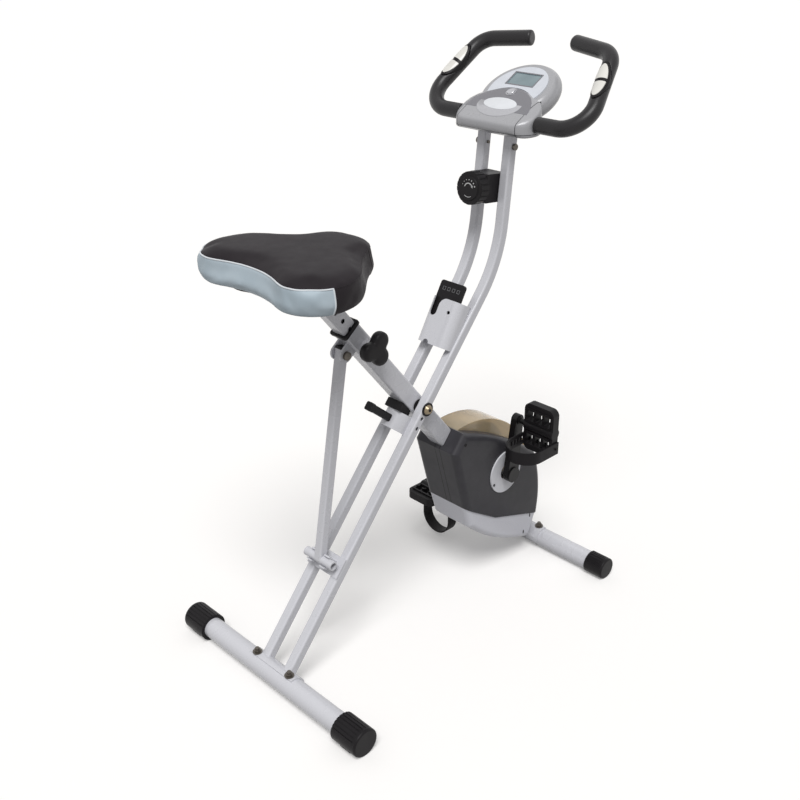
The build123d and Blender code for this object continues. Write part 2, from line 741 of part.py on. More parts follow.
# Main tube with all that is welded to it
axle = on_main(-AXLE_RUN, AXLE_RISE)
flywheel_axis = on_main(-FLYWHEEL_RUN, FLYWHEEL_RISE)
magnet_inner = FLYWHEEL_RADIUS + MAGNET_GAP
magnet_middle = magnet_inner + MAGNET_THICK / 2
magnet_swing = Vector(cos(radians(MAGNET_ARC_START)), 0, sin(radians(MAGNET_ARC_START)))
magnet_pin = flywheel_axis + magnet_swing * magnet_middle
main_half = MAIN_SIDE / 2
main_bore = MAIN_SIDE - 2 * MAIN_WALL
main_foot = front_axis + main_along * (STABILIZER_DIA / 2 + RUNNING_FIT)
main_reach = (on_main(MAIN_TOP, 0) - main_foot).length
bore_foot = front_axis + main_along * saddle_outer
ear_inner = STRUT_SIDE / 2 + GAP
ear_outer = ear_inner + EAR_THICK
knob_point = on_main(KNOB_RUN, 0)
boss_end = main_half + KNOB_BOSS_LENGTH
bearing_dia = SHELL_DIA - 2 * SHELL_WALL

with BuildPart() as main_tube:
    with BuildSketch(Plane(origin=main_foot, x_dir=(0, 1, 0), z_dir=main_along)):
        RectangleRounded(MAIN_SIDE, MAIN_SIDE, MAIN_CORNER)
    extrude(amount=main_reach)
    with BuildSketch(main_side):
        with Locations((-FLYWHEEL_RUN, FLYWHEEL_RISE)):
            Circle(FLYWHEEL_EAR)
        with Locations((-FLYWHEEL_RUN, FLYWHEEL_RISE / 2)):
            Rectangle(2 * FLYWHEEL_EAR, FLYWHEEL_RISE)
    extrude(amount=main_half, both=True)
    with BuildSketch(main_side):
        with Locations((-FLYWHEEL_RUN, main_half + 2 * FLYWHEEL_EAR)):
            Rectangle(2 * WIDE * FLYWHEEL_EAR, 2 * WIDE * FLYWHEEL_EAR)
    extrude(amount=main_half - EAR_THICK, both=True, mode=Mode.SUBTRACT)
    with BuildSketch(main_side):
        with Locations((STRUT_PIVOT_RUN, -STRUT_PIVOT_DROP)):
            Circle(EAR_WIDTH / 2)
        with Locations((STRUT_PIVOT_RUN, -STRUT_PIVOT_DROP / 2)):
            Rectangle(EAR_WIDTH, STRUT_PIVOT_DROP)
    extrude(amount=ear_outer, both=True)
    with BuildSketch(main_side):
        with Locations((STRUT_PIVOT_RUN, -main_half - EAR_WIDTH)):
            Rectangle(2 * EAR_WIDTH, 2 * EAR_WIDTH)
    extrude(amount=ear_inner, both=True, mode=Mode.SUBTRACT)
    with BuildSketch(Plane(origin=bore_foot, x_dir=(0, 1, 0), z_dir=main_along)):
        RectangleRounded(main_bore, main_bore, MAIN_CORNER - MAIN_WALL)
    extrude(amount=main_reach, mode=Mode.SUBTRACT)
    with BuildSketch(front_plane):
        saddle_sketch(saddle_outer)
    extrude(amount=SADDLE_LENGTH / 2, both=True)
    with BuildSketch(Plane(origin=front_axis, x_dir=(-1, 0, 0), z_dir=(0, 0, 1))):
        with saddle_bolts:
            Circle(SADDLE_BOLT_DIA / 2 + RUNNING_FIT)
    extrude(amount=STABILIZER_DIA, mode=Mode.SUBTRACT)
    with BuildSketch(sideways(axle, -SHELL_RIGHT)):
        Circle(SHELL_DIA / 2)
    extrude(amount=SHELL_RIGHT + SHELL_LEFT)
    with BuildSketch(sideways(axle, -SHELL_RIGHT)):
        Circle(bearing_dia / 2)
    extrude(amount=SHELL_RIGHT + SHELL_LEFT, mode=Mode.SUBTRACT)
    with BuildSketch(sideways(pivot)):
        Circle(PIVOT_SLEEVE_DIA / 2)
    extrude(amount=main_half, both=True)
    with BuildSketch(sideways(pivot)):
        Circle(PIVOT_BOLT_DIA / 2 + RUNNING_FIT)
    extrude(amount=main_half, both=True, mode=Mode.SUBTRACT)
    with BuildSketch(sideways(knob_point, -main_bore / 2)):
        Circle(KNOB_BOSS_DIA / 2)
    extrude(amount=main_bore / 2 - boss_end)
    with BuildSketch(sideways(knob_point)):
        Circle(SEAT_PIN_DIA / 2 + RUNNING_FIT)
    extrude(amount=-boss_end, mode=Mode.SUBTRACT)
    with BuildSketch(sideways(strut_pivot)):
        Circle(STRUT_BOLT_DIA / 2 + RUNNING_FIT)
    extrude(amount=ear_outer, both=True, mode=Mode.SUBTRACT)
    with BuildSketch(sideways(flywheel_axis)):
        Circle(FLYWHEEL_SHAFT_DIA / 2 + RUNNING_FIT)
    extrude(amount=main_half, both=True, mode=Mode.SUBTRACT)
    with BuildSketch(sideways(magnet_pin, -main_bore / 2)):
        Circle(MAGNET_PIN_DIA / 2)
    extrude(amount=main_bore / 2 - FLYWHEEL_OFFSET - FLYWHEEL_WIDTH / 2)
save(main_tube, "main_tube")

# Plastic collar that guides the seat post in the top of the main tube
sleeve_side = main_bore - 2 * RUNNING_FIT
post_passage = SEAT_POST_SIDE + 2 * SEAT_POST_FIT
with BuildPart() as collar:
    with BuildSketch(across_main(MAIN_TOP)):
        RectangleRounded(COLLAR_SIDE, COLLAR_SIDE, MAIN_CORNER)
    extrude(amount=COLLAR_THICK)
    fillet(collar.faces().sort_by(Axis(pivot, main_along))[-1].edges(), COLLAR_EDGE)
    with BuildSketch(across_main(MAIN_TOP)):
        RectangleRounded(sleeve_side, sleeve_side, MAIN_CORNER - MAIN_WALL)
    extrude(amount=-COLLAR_SLEEVE)
    with BuildSketch(across_main(MAIN_TOP)):
        RectangleRounded(post_passage, post_passage, SEAT_POST_CORNER)
    extrude(amount=COLLAR_SLEEVE, both=True, mode=Mode.SUBTRACT)
save(collar, "tube_collar")


# Fasteners
def foot_bolts(axis):
    """Two upright bolts that hold a saddle on its stabilizer, with a nut on top."""
    upright = Plane(origin=axis, x_dir=(-1, 0, 0), z_dir=(0, 0, 1))
    under = upright.offset(-STABILIZER_DIA / 2 - SADDLE_THICK)
    with BuildPart() as bolts:
        with BuildSketch(under):
            with saddle_bolts:
                Circle(SADDLE_NUT_DIA / 2)
        extrude(amount=SADDLE_THICK)
        with BuildSketch(under):
            with saddle_bolts:
                Circle(SADDLE_BOLT_DIA / 2)
        extrude(amount=STABILIZER_DIA / 2 + SADDLE_THICK + saddle_outer + 2 * BOLT_HEAD_HEIGHT)
        with BuildSketch(upright.offset(saddle_outer)):
            with saddle_bolts:
                Circle(SADDLE_NUT_DIA / 2 + SADDLE_THICK)
        extrude(amount=SADDLE_THICK / 2)
        with BuildSketch(upright.offset(saddle_outer + SADDLE_THICK / 2)):
            with saddle_bolts:
                RegularPolygon(SADDLE_NUT_DIA / 2, NUT_SIDES)
        extrude(amount=BOLT_HEAD_HEIGHT)
    return bolts.part


rear_bolts = foot_bolts(rear_axis)
front_bolts = foot_bolts(front_axis)
post_outer = (POST_SPACING + POST_SIDE) / 2
post_inner = (POST_SPACING - POST_SIDE) / 2
head_bolt_axis = upper_post(HEAD_BOLT_HEIGHT)
with BuildPart() as frame_bolts:
    add(rear_bolts)
    for side, sign in SIDES:
        with BuildSketch(sideways(roller_center, sign * roller_place)):
            Circle(ROLLER_PIN_DIA / 2)
        extrude(amount=pin_half, both=True)
        with BuildSketch(sideways(head_bolt_axis, sign * post_outer)):
            Circle(HEAD_BOLT_DIA / 2)
        extrude(amount=sign * BOLT_HEAD_HEIGHT)
        with BuildSketch(sideways(head_bolt_axis, sign * post_outer)):
            Circle(HEAD_BOLT_SHANK / 2)
        extrude(amount=-sign * (POST_SIDE + HEAD_WALL))
save(frame_bolts, "frame_bolts")

with BuildPart() as main_bolts:
    add(front_bolts)
    with BuildSketch(sideways(strut_pivot)):
        Circle(STRUT_BOLT_DIA / 2)
    extrude(amount=ear_outer, both=True)
    for side, sign in SIDES:
        with BuildSketch(sideways(strut_pivot, sign * ear_outer)):
            Circle(STRUT_BOLT_HEAD / 2)
        extrude(amount=sign * BOLT_HEAD_HEIGHT)
save(main_bolts, "main_bolts")

with BuildPart() as pivot_bolt:
    with BuildSketch(sideways(pivot)):
        Circle(PIVOT_BOLT_DIA / 2)
    extrude(amount=post_outer + PIVOT_WASHER_THICK, both=True)
    for side, sign in SIDES:
        with BuildSketch(sideways(pivot, sign * (post_outer + PIVOT_WASHER_THICK))):
            Circle(PIVOT_BOLT_DIA)
        extrude(amount=sign * BOLT_HEAD_HEIGHT, taper=PIVOT_HEAD_TAPER)
save(pivot_bolt, "pivot_bolt")

with BuildPart() as pivot_washers:
    for side, sign in SIDES:
        with BuildSketch(sideways(pivot, sign * post_outer)):
            Circle(PIVOT_WASHER_DIA / 2)
            Circle(PIVOT_BOLT_DIA / 2 + RUNNING_FIT, mode=Mode.SUBTRACT)
        extrude(amount=sign * PIVOT_WASHER_THICK)
        with BuildSketch(sideways(pivot, sign * post_inner)):
            Circle(PIVOT_WASHER_DIA / 2)
            Circle(PIVOT_BOLT_DIA / 2 + RUNNING_FIT, mode=Mode.SUBTRACT)
        extrude(amount=sign * (main_half + GAP - post_inner))
save(pivot_washers, "pivot_washers")

# Crank, bearings, drive pulley, belt and flywheel
with BuildPart() as bottom_bearings:
    for start, depth in ((-SHELL_RIGHT, BEARING_WIDTH), (SHELL_LEFT, -BEARING_WIDTH)):
        with BuildSketch(sideways(axle, start)):
            Circle(bearing_dia / 2)
            Circle(AXLE_DIA / 2 + RUNNING_FIT, mode=Mode.SUBTRACT)
        extrude(amount=depth)
save(bottom_bearings, "bottom_bearings")

crank_outer = CRANK_INNER + CRANK_THICK
with BuildPart() as crank_axle:
    with BuildSketch(sideways(axle)):
        Circle(AXLE_DIA / 2)
    extrude(amount=crank_outer, both=True)
save(crank_axle, "crank_axle")

pulley_low = PULLEY_OFFSET - PULLEY_WIDTH / 2
with BuildPart() as drive_pulley:
    with BuildSketch(sideways(axle, pulley_low)):
        Circle(PULLEY_RADIUS)
        Circle(AXLE_DIA / 2 + RUNNING_FIT, mode=Mode.SUBTRACT)
        with PolarLocations((PULLEY_RADIUS + CRANK_BOSS_DIA / 2) / 2, PULLEY_SPOKES):
            Circle(PULLEY_HOLE_DIA / 2, mode=Mode.SUBTRACT)
    extrude(amount=PULLEY_WIDTH)
save(drive_pulley, "drive_pulley")

belt_inner = BELT_GAP
belt_outer = BELT_GAP + BELT_THICK
with BuildPart() as belt:
    with BuildSketch(sideways(axle, pulley_low)):
        Circle(PULLEY_RADIUS + belt_outer)
        with Locations((axle.X - flywheel_axis.X, flywheel_axis.Z - axle.Z)):
            Circle(FLYWHEEL_PULLEY_RADIUS + belt_outer)
        make_hull()
    extrude(amount=PULLEY_WIDTH)
    with BuildSketch(sideways(axle, pulley_low)):
        Circle(PULLEY_RADIUS + belt_inner)
        with Locations((axle.X - flywheel_axis.X, flywheel_axis.Z - axle.Z)):
            Circle(FLYWHEEL_PULLEY_RADIUS + belt_inner)
        make_hull()
    extrude(amount=PULLEY_WIDTH, mode=Mode.SUBTRACT)
save(belt, "drive_belt")

flywheel_low = -FLYWHEEL_OFFSET - FLYWHEEL_WIDTH / 2
with BuildPart() as flywheel:
    with BuildSketch(sideways(flywheel_axis, flywheel_low)):
        Circle(FLYWHEEL_RADIUS)
    extrude(amount=FLYWHEEL_WIDTH)
    with BuildSketch(sideways(flywheel_axis, flywheel_low)):
        Circle(FLYWHEEL_RADIUS - FLYWHEEL_RIM)
        Circle(FLYWHEEL_HUB, mode=Mode.SUBTRACT)
    extrude(amount=FLYWHEEL_DISH, mode=Mode.SUBTRACT)
    with BuildSketch(sideways(flywheel_axis, flywheel_low)):
        Circle(FLYWHEEL_SHAFT_DIA / 2)
    extrude(amount=pulley_low + PULLEY_WIDTH - flywheel_low)
    with BuildSketch(sideways(flywheel_axis, pulley_low)):
        Circle(FLYWHEEL_PULLEY_RADIUS)
    extrude(amount=PULLEY_WIDTH)
save(flywheel, "flywheel")

# Magnet shoe that swings about its pin beside the flywheel rim
flywheel_plane = Plane(
    origin=(flywheel_axis.X, -FLYWHEEL_OFFSET, flywheel_axis.Z),
    x_dir=(1, 0, 0),
    z_dir=(0, -1, 0),
)
with BuildPart() as magnet_arm:
    with BuildSketch(flywheel_plane):
        with BuildLine():
            CenterArc((0, 0), magnet_middle, MAGNET_ARC_START, MAGNET_ARC_END - MAGNET_ARC_START)
            offset(amount=MAGNET_THICK / 2, side=Side.BOTH)
        make_face()
    extrude(amount=MAGNET_WIDTH / 2, both=True)
    with BuildSketch(sideways(magnet_pin, -FLYWHEEL_OFFSET)):
        Circle(MAGNET_EYE_DIA / 2)
    extrude(amount=MAGNET_WIDTH / 2, both=True)
    with BuildSketch(flywheel_plane):
        Circle(magnet_inner)
    extrude(amount=MAGNET_WIDTH, both=True, mode=Mode.SUBTRACT)
    with BuildSketch(sideways(magnet_pin, -FLYWHEEL_OFFSET)):
        Circle(MAGNET_PIN_DIA / 2 + RUNNING_FIT)
    extrude(amount=MAGNET_WIDTH, both=True, mode=Mode.SUBTRACT)
save(magnet_arm, "magnet_arm")

# Crank arms with the pedal spindles, pedals and toe straps
crank_swing = Vector(sin(radians(CRANK_LEAN)), 0, cos(radians(CRANK_LEAN)))
pedal_half = PEDAL_WIDTH / 2
spindle_end = PEDAL_CENTER + pedal_half - PEDAL_END_WALL
strap_inner = pedal_half + GAP
strap_outer = strap_inner + STRAP_THICK
plate_half = PEDAL_THICK / 2 - PEDAL_RIB_HEIGHT
RIGHT_PEDAL = ("right", -1, crank_swing, Vector(-1, 0, 0), RIGHT_STRAP_OFFSET, RIGHT_STRAP_STAND)
LEFT_PEDAL = ("left", 1, crank_swing * -1, Vector(0, 0, -1), LEFT_STRAP_OFFSET, LEFT_STRAP_STAND)

for side, sign, swing, foot_normal, strap_offset, strap_stand in (RIGHT_PEDAL, LEFT_PEDAL):
    eye = axle + swing * CRANK_LENGTH
    with BuildPart() as crank_arm:
        with BuildSketch(sideways(axle, sign * CRANK_INNER)):
            Circle(CRANK_BOSS_DIA / 2)
            with Locations(((axle - eye).X, (eye - axle).Z)):
                Circle(CRANK_EYE_DIA / 2)
            make_hull()
        extrude(amount=sign * CRANK_THICK)
        with BuildSketch(sideways(axle, sign * CRANK_INNER)):
            Circle(CRANK_BOSS_DIA / 2)
        extrude(amount=sign * (CRANK_THICK + CRANK_BOSS_PROUD))
        with BuildSketch(sideways(axle, sign * CRANK_INNER)):
            Circle(AXLE_DIA / 2 + RUNNING_FIT)
        extrude(amount=sign * CRANK_THICK, mode=Mode.SUBTRACT)
        with BuildSketch(sideways(eye, sign * crank_outer)):
            Circle(SPINDLE_DIA / 2)
        extrude(amount=sign * (spindle_end - GAP - crank_outer))
        with BuildSketch(sideways(eye, sign * crank_outer)):
            Circle(CRANK_EYE_DIA / 2 - CRANK_BOSS_PROUD)
        extrude(amount=sign * CRANK_BOSS_PROUD)
    save(crank_arm, f"crank_arm_{side}")

    center = eye + Vector(0, sign * PEDAL_CENTER, 0)
    foot_plane = Plane(origin=center, x_dir=(0, 1, 0), z_dir=foot_normal)
    toe = foot_plane.y_dir
    strap_center = center + toe * strap_offset
    strap_plane = Plane(origin=strap_center, x_dir=(0, 1, 0), z_dir=Vector(0, 1, 0).cross(foot_normal))
    leg_plane = Plane(origin=strap_center, x_dir=toe, z_dir=toe.cross(foot_normal))
    with BuildPart() as pedal:
        with BuildSketch(foot_plane):
            RectangleRounded(PEDAL_WIDTH, PEDAL_LENGTH, PEDAL_CORNER)
            with GridLocations(PEDAL_WINDOW_PITCH, PEDAL_LENGTH / 2, PEDAL_WINDOWS, 2):
                RectangleRounded(
                    PEDAL_WINDOW_WIDTH,
                    PEDAL_WINDOW_LENGTH,
                    PEDAL_RIB_WIDTH / 2,
                    mode=Mode.SUBTRACT,
                )
        extrude(amount=plate_half, both=True)
        with BuildSketch(sideways(center, center.Y)):
            Circle(PEDAL_THICK / 2)
        extrude(amount=pedal_half, both=True)
        with BuildSketch(foot_plane):
            with GridLocations(0, PEDAL_RIB_PITCH, 1, PEDAL_RIBS):
                Rectangle(PEDAL_WIDTH - PEDAL_CORNER, PEDAL_RIB_WIDTH)
            with GridLocations(PEDAL_WINDOW_PITCH, PEDAL_LENGTH / 2, PEDAL_WINDOWS, 2):
                RectangleRounded(
                    PEDAL_WINDOW_WIDTH,
                    PEDAL_WINDOW_LENGTH,
                    PEDAL_RIB_WIDTH / 2,
                    mode=Mode.SUBTRACT,
                )
        extrude(amount=PEDAL_THICK / 2, both=True)
        with BuildSketch(sideways(strap_center, strap_center.Y)):
            Circle(STRAP_STUD_DIA / 2)
        extrude(amount=strap_outer + STRAP_THICK, both=True)
        with BuildSketch(sideways(strap_center, strap_center.Y)):
            Circle(STRAP_STUD_DIA)
        extrude(amount=pedal_half - PEDAL_END_WALL, both=True, mode=Mode.SUBTRACT)
        with BuildSketch(sideways(center, sign * (PEDAL_CENTER - pedal_half))):
            Circle(SPINDLE_DIA / 2 + RUNNING_FIT)
        extrude(amount=sign * (PEDAL_WIDTH - PEDAL_END_WALL), mode=Mode.SUBTRACT)
    save(pedal, f"pedal_{side}")

    with BuildPart() as strap:
        with BuildSketch(strap_plane):
            with Locations((0, strap_stand)):
                Circle(strap_outer)
            with Locations((0, (strap_stand - STRAP_TAIL) / 2)):
                Rectangle(2 * strap_outer, strap_stand + STRAP_TAIL)
            with Locations((0, strap_stand)):
                Circle(strap_inner, mode=Mode.SUBTRACT)
            with Locations((0, (strap_stand - STRAP_TAIL) / 2)):
                Rectangle(2 * strap_inner, strap_stand + STRAP_TAIL, mode=Mode.SUBTRACT)
        extrude(amount=STRAP_WIDTH / 2, both=True)
        with BuildSketch(leg_plane):
            Circle(STRAP_STUD_DIA / 2 + RUNNING_FIT)
        extrude(amount=2 * strap_outer, both=True, mode=Mode.SUBTRACT)
        with BuildSketch(leg_plane):
            with Locations((0, STRAP_HOLE_START)):
                with GridLocations(0, STRAP_HOLE_PITCH, 1, STRAP_HOLES, align=(Align.CENTER, Align.MIN)):
                    Rectangle(STRAP_HOLE_WIDTH, STRAP_HOLE_HEIGHT)
        extrude(amount=2 * strap_outer, dir=(0, -sign, 0), mode=Mode.SUBTRACT)
    save(strap, f"pedal_strap_{side}")

# Moulded drive housing: two dark halves, a silver skirt below and a clear hump above
with BuildSketch(Plane.XZ) as housing_outline:
    with BuildLine():
        Line(HOUSING_COLLAR_LOW, HOUSING_COLLAR_HIGH)
        ThreePointArc(HOUSING_COLLAR_HIGH, HOUSING_TOP_MIDDLE, HOUSING_FRONT_TOP)
        ThreePointArc(HOUSING_FRONT_TOP, HOUSING_FRONT_MIDDLE, HOUSING_FRONT_LOW)
        Line(HOUSING_FRONT_LOW, SKIRT_FRONT)
        ThreePointArc(SKIRT_FRONT, SKIRT_KEEL, SKIRT_REAR)
        Line(SKIRT_REAR, HOUSING_SEAM_REAR)
        Line(HOUSING_SEAM_REAR, HOUSING_COLLAR_LOW)
    make_face()
    fillet(housing_outline.vertices().group_by(Axis.X)[-1], HOUSING_NOSE)

with BuildSketch(Plane.XZ) as skirt_zone:
    with BuildLine():
        Polyline(
            (HOUSING_SEAM_REAR[0] - HOUSING_HALF_WIDTH, HOUSING_SEAM_REAR[1]),
            HOUSING_SEAM_REAR,
            HOUSING_SEAM_MIDDLE,
            HOUSING_FRONT_LOW,
            (HOUSING_FRONT_LOW[0] + HOUSING_HALF_WIDTH, HOUSING_FRONT_LOW[1]),
            (HOUSING_FRONT_LOW[0] + HOUSING_HALF_WIDTH, -HOUSING_HALF_WIDTH),
            (HOUSING_SEAM_REAR[0] - HOUSING_HALF_WIDTH, -HOUSING_HALF_WIDTH),
            close=True,
        )
    make_face()
    seam_corner = skirt_zone.vertices().sort_by_distance((*HOUSING_SEAM_MIDDLE, 0))[0]
    fillet(seam_corner, HOUSING_EDGE)

cavity_outline = offset(housing_outline.sketch, amount=-HOUSING_WALL)
cover_inner = COVER_HALF_WIDTH - COVER_WALL
tube_passage = MAIN_SIDE + 2 * GAP


def housing_half(sign, half_width):
    """Hollow half of the housing, open at the middle plane and pierced for the tube and the axle."""
    outward = (0, sign, 0)
    with BuildPart() as cavity:
        extrude(cavity_outline, amount=half_width - HOUSING_WALL, dir=outward)
        outer_rim = cavity.faces().sort_by(Axis.Y)[-1 if sign > 0 else 0].edges()
        fillet(outer_rim, HOUSING_EDGE - HOUSING_WALL)
    with BuildPart() as half:
        extrude(housing_outline.sketch, amount=half_width, dir=outward)
        outer_rim = half.faces().sort_by(Axis.Y)[-1 if sign > 0 else 0].edges()
        fillet(outer_rim, HOUSING_EDGE)
        add(cavity.part, mode=Mode.SUBTRACT)
        with BuildSketch(Plane(origin=front_axis, x_dir=(0, 1, 0), z_dir=main_along)):
            RectangleRounded(tube_passage, tube_passage, MAIN_CORNER + GAP)
        extrude(amount=(pivot - front_axis).length, mode=Mode.SUBTRACT)
        with BuildSketch(sideways(axle)):
            Circle(DISC_BORE / 2)
        extrude(amount=2 * half_width, both=True, mode=Mode.SUBTRACT)
    return half.part


for side, sign in SIDES:
    whole_half = housing_half(sign, HOUSING_HALF_WIDTH)
    with BuildPart() as housing:
        add(whole_half)
        extrude(skirt_zone.sketch, amount=2 * HOUSING_HALF_WIDTH, both=True, mode=Mode.SUBTRACT)
        with BuildSketch(Plane.XY.offset(HOUSING_FRONT_TOP[1])):
            with Locations(((COVER_REAR[0] + COVER_FRONT[0]) / 2, 0)):
                Rectangle(COVER_FRONT[0] - COVER_REAR[0] - 2 * COVER_LAND, 2 * cover_inner)
        extrude(amount=HOUSING_COLLAR_HIGH[1], mode=Mode.SUBTRACT)
    save(housing, f"housing_{side}")

skirt_halves = [housing_half(sign, HOUSING_HALF_WIDTH - SKIRT_STEP) for side, sign in SIDES]
with BuildPart() as skirt:
    for half in skirt_halves:
        add(half)
    extrude(skirt_zone.sketch, amount=2 * HOUSING_HALF_WIDTH, both=True, mode=Mode.INTERSECT)
save(skirt, "housing_skirt")

with BuildSketch(Plane.XZ) as cover_outline:
    with BuildLine():
        ThreePointArc(COVER_REAR, COVER_TOP, COVER_FRONT)
        Line(COVER_FRONT, COVER_REAR)
    make_face()
cover_hollow = offset(cover_outline.sketch, amount=-COVER_WALL)
with BuildPart() as cover:
    extrude(cover_outline.sketch, amount=COVER_HALF_WIDTH, both=True)
    extrude(cover_hollow, amount=cover_inner, both=True, mode=Mode.SUBTRACT)
    extrude(housing_outline.sketch, amount=2 * COVER_HALF_WIDTH, both=True, mode=Mode.SUBTRACT)
save(cover, "flywheel_cover")

with BuildPart() as crank_discs:
    for side, sign in SIDES:
        with BuildSketch(sideways(axle, sign * HOUSING_HALF_WIDTH)):
            Circle(DISC_DIA / 2)
            Circle(DISC_BORE / 2, mode=Mode.SUBTRACT)
        extrude(amount=sign * DISC_THICK)
save(crank_discs, "crank_discs")

# Seat: square post with index holes, pan and cushion
seat_bore = SEAT_POST_SIDE - 2 * SEAT_POST_WALL
plate_top = SEAT_BASE_HEIGHT - SEAT_PAN_THICK
plate_low = plate_top - SEAT_PLATE_THICK
post_run = (plate_low - PIVOT_HEIGHT) / main_along.Z
with BuildPart() as seat_post:
    with BuildSketch(across_main(SEAT_POST_LOW)):
        RectangleRounded(SEAT_POST_SIDE, SEAT_POST_SIDE, SEAT_POST_CORNER)
        RectangleRounded(seat_bore, seat_bore, SEAT_POST_CORNER - SEAT_POST_WALL, mode=Mode.SUBTRACT)
    extrude(amount=post_run + SEAT_POST_SIDE - SEAT_POST_LOW)
    with BuildSketch(main_side):
        with Locations((KNOB_RUN + SEAT_POST_HOLE_PITCH, 0)):
            with GridLocations(SEAT_POST_HOLE_PITCH, 0, SEAT_POST_HOLES, 1):
                Circle(SEAT_POST_HOLE_DIA / 2)
    extrude(amount=-SEAT_POST_SIDE, mode=Mode.SUBTRACT)
    with BuildSketch(Plane.XY.offset(plate_low)):
        with Locations((SEAT_CENTER, 0)):
            Rectangle(2 * SEAT_PLATE_LENGTH, SEAT_PLATE_LENGTH)
    extrude(amount=SEAT_PLATE_LENGTH, mode=Mode.SUBTRACT)
    with BuildSketch(Plane.XY.offset(plate_low)):
        with Locations((SEAT_CENTER, 0)):
            RectangleRounded(SEAT_PLATE_LENGTH, SEAT_PLATE_WIDTH, MAIN_CORNER)
    extrude(amount=SEAT_PLATE_THICK)
save(seat_post, "seat_post")

with BuildSketch() as seat_outline:
    with BuildLine() as seat_edge:
        notch = TangentArc(SEAT_REAR_NOTCH, SEAT_REAR_LOBE, tangent=(0, 1))
        lobe = TangentArc(SEAT_REAR_LOBE, SEAT_WIDEST, tangent=notch % 1)
        flank = TangentArc(SEAT_WIDEST, SEAT_FLANK, tangent=lobe % 1)
        waist = TangentArc(SEAT_FLANK, SEAT_WAIST, tangent=flank % 1)
        TangentArc(SEAT_WAIST, SEAT_NOSE, tangent=waist % 1)
        mirror(about=Plane.XZ)
    make_face()


def seat_section(height, share):
    """Outline of the seat at a height, drawn in or out about its centre."""
    return Plane(origin=(SEAT_CENTER, 0, height)) * scale(seat_outline.sketch_local, by=share)


seat_rim = SEAT_BASE_HEIGHT + SEAT_PIPING_RISE
seat_sections = [
    seat_section(SEAT_BASE_HEIGHT, SEAT_BASE_SHARE),
    seat_section(SEAT_BASE_HEIGHT + SEAT_SIDE_RISE, 1),
    seat_section(seat_rim, SEAT_PIPING_SHARE),
]
for rise, share in SEAT_SHOULDERS:
    seat_sections.append(seat_section(seat_rim + SEAT_CROWN * rise, share))
with BuildPart() as cushion:
    loft(sections=seat_sections, ruled=True)
save(cushion, "seat_cushion")

with BuildPart() as pan:
    extrude(seat_section(plate_top, SEAT_PAN_SHARE), amount=SEAT_PAN_THICK)
    fillet(pan.faces().sort_by(Axis.Z)[0].edges(), SEAT_PAN_EDGE)
save(pan, "seat_pan")

# Pull pin and its three lobed knob beside the main tube
pin_tip = SEAT_POST_SIDE / 2 + GAP
knob_start = boss_end + KNOB_GAP
with BuildPart() as seat_pin:
    with BuildSketch(sideways(knob_point, -pin_tip)):
        Circle(SEAT_PIN_DIA / 2)
    extrude(amount=pin_tip - knob_start - KNOB_THICK / 2)
save(seat_pin, "seat_pin")

with BuildPart() as seat_knob:
    with BuildSketch(sideways(knob_point, -knob_start)):
        with PolarLocations(KNOB_LOBE_REACH, KNOB_LOBES):
            Circle(KNOB_LOBE_DIA / 2)
        Circle(KNOB_LOBE_REACH)
    extrude(amount=-KNOB_THICK)
    fillet(seat_knob.faces().filter_by(Axis.Y).edges(), KNOB_EDGE)
    with BuildSketch(sideways(knob_point, -knob_start)):
        Circle(SEAT_PIN_DIA / 2 + RUNNING_FIT)
    extrude(amount=-KNOB_THICK / 2 - GAP, mode=Mode.SUBTRACT)
save(seat_knob, "seat_knob")

# Tension knob on its mount between the posts
mount_back = post_back + TENSION_MOUNT_REACH
tension_center = upper_plane(TENSION_HEIGHT)
knob_face = Plane(
    origin=tension_center.from_local_coords(Vector(-mount_back, 0, 0)),
    x_dir=(0, 1, 0),
    z_dir=tension_center.x_dir * -1,
)
with BuildPart() as tension_mount:
    with BuildSketch(upper_plane(TENSION_HEIGHT - TENSION_MOUNT_HEIGHT / 2)):
        with Locations((-TENSION_MOUNT_REACH / 2, 0)):
            Rectangle(mount_back + post_back, 2 * post_inner)
    extrude(amount=TENSION_MOUNT_HEIGHT)
    fillet(tension_mount.faces().sort_by(Axis.X)[0].edges(), POST_CORNER)
    with BuildSketch(knob_face):
        Circle(TENSION_SHAFT_DIA / 2 + RUNNING_FIT)
    extrude(amount=-TENSION_SHAFT_LENGTH - GAP, mode=Mode.SUBTRACT)
save(tension_mount, "tension_mount")

with BuildPart() as tension_knob:
    with BuildSketch(knob_face.offset(GAP)):
        Circle(TENSION_KNOB_DIA / 2)
    extrude(amount=TENSION_KNOB_THICK)
    fillet(tension_knob.edges().sort_by(Axis(knob_face.origin, knob_face.z_dir))[-1], TENSION_FLUTE_DIA / 2)
    with BuildSketch(knob_face.offset(GAP)):
        with PolarLocations(TENSION_KNOB_DIA / 2, TENSION_FLUTES):
            Circle(TENSION_FLUTE_DIA / 2)
    extrude(amount=TENSION_KNOB_THICK, mode=Mode.SUBTRACT)
    with BuildSketch(knob_face.offset(GAP + TENSION_KNOB_THICK)):
        Circle(TENSION_FACE_DIA / 2)
    extrude(amount=TENSION_FACE_PROUD, taper=PIVOT_HEAD_TAPER)
    with BuildSketch(knob_face.offset(GAP)):
        Circle(TENSION_SHAFT_DIA / 2)
    extrude(amount=-TENSION_SHAFT_LENGTH)
save(tension_knob, "tension_knob")


# Handlebar, foam grips and pulse sensors
def bar_point(corner, sign):
    return Vector(corner[0], sign * corner[1], corner[2])


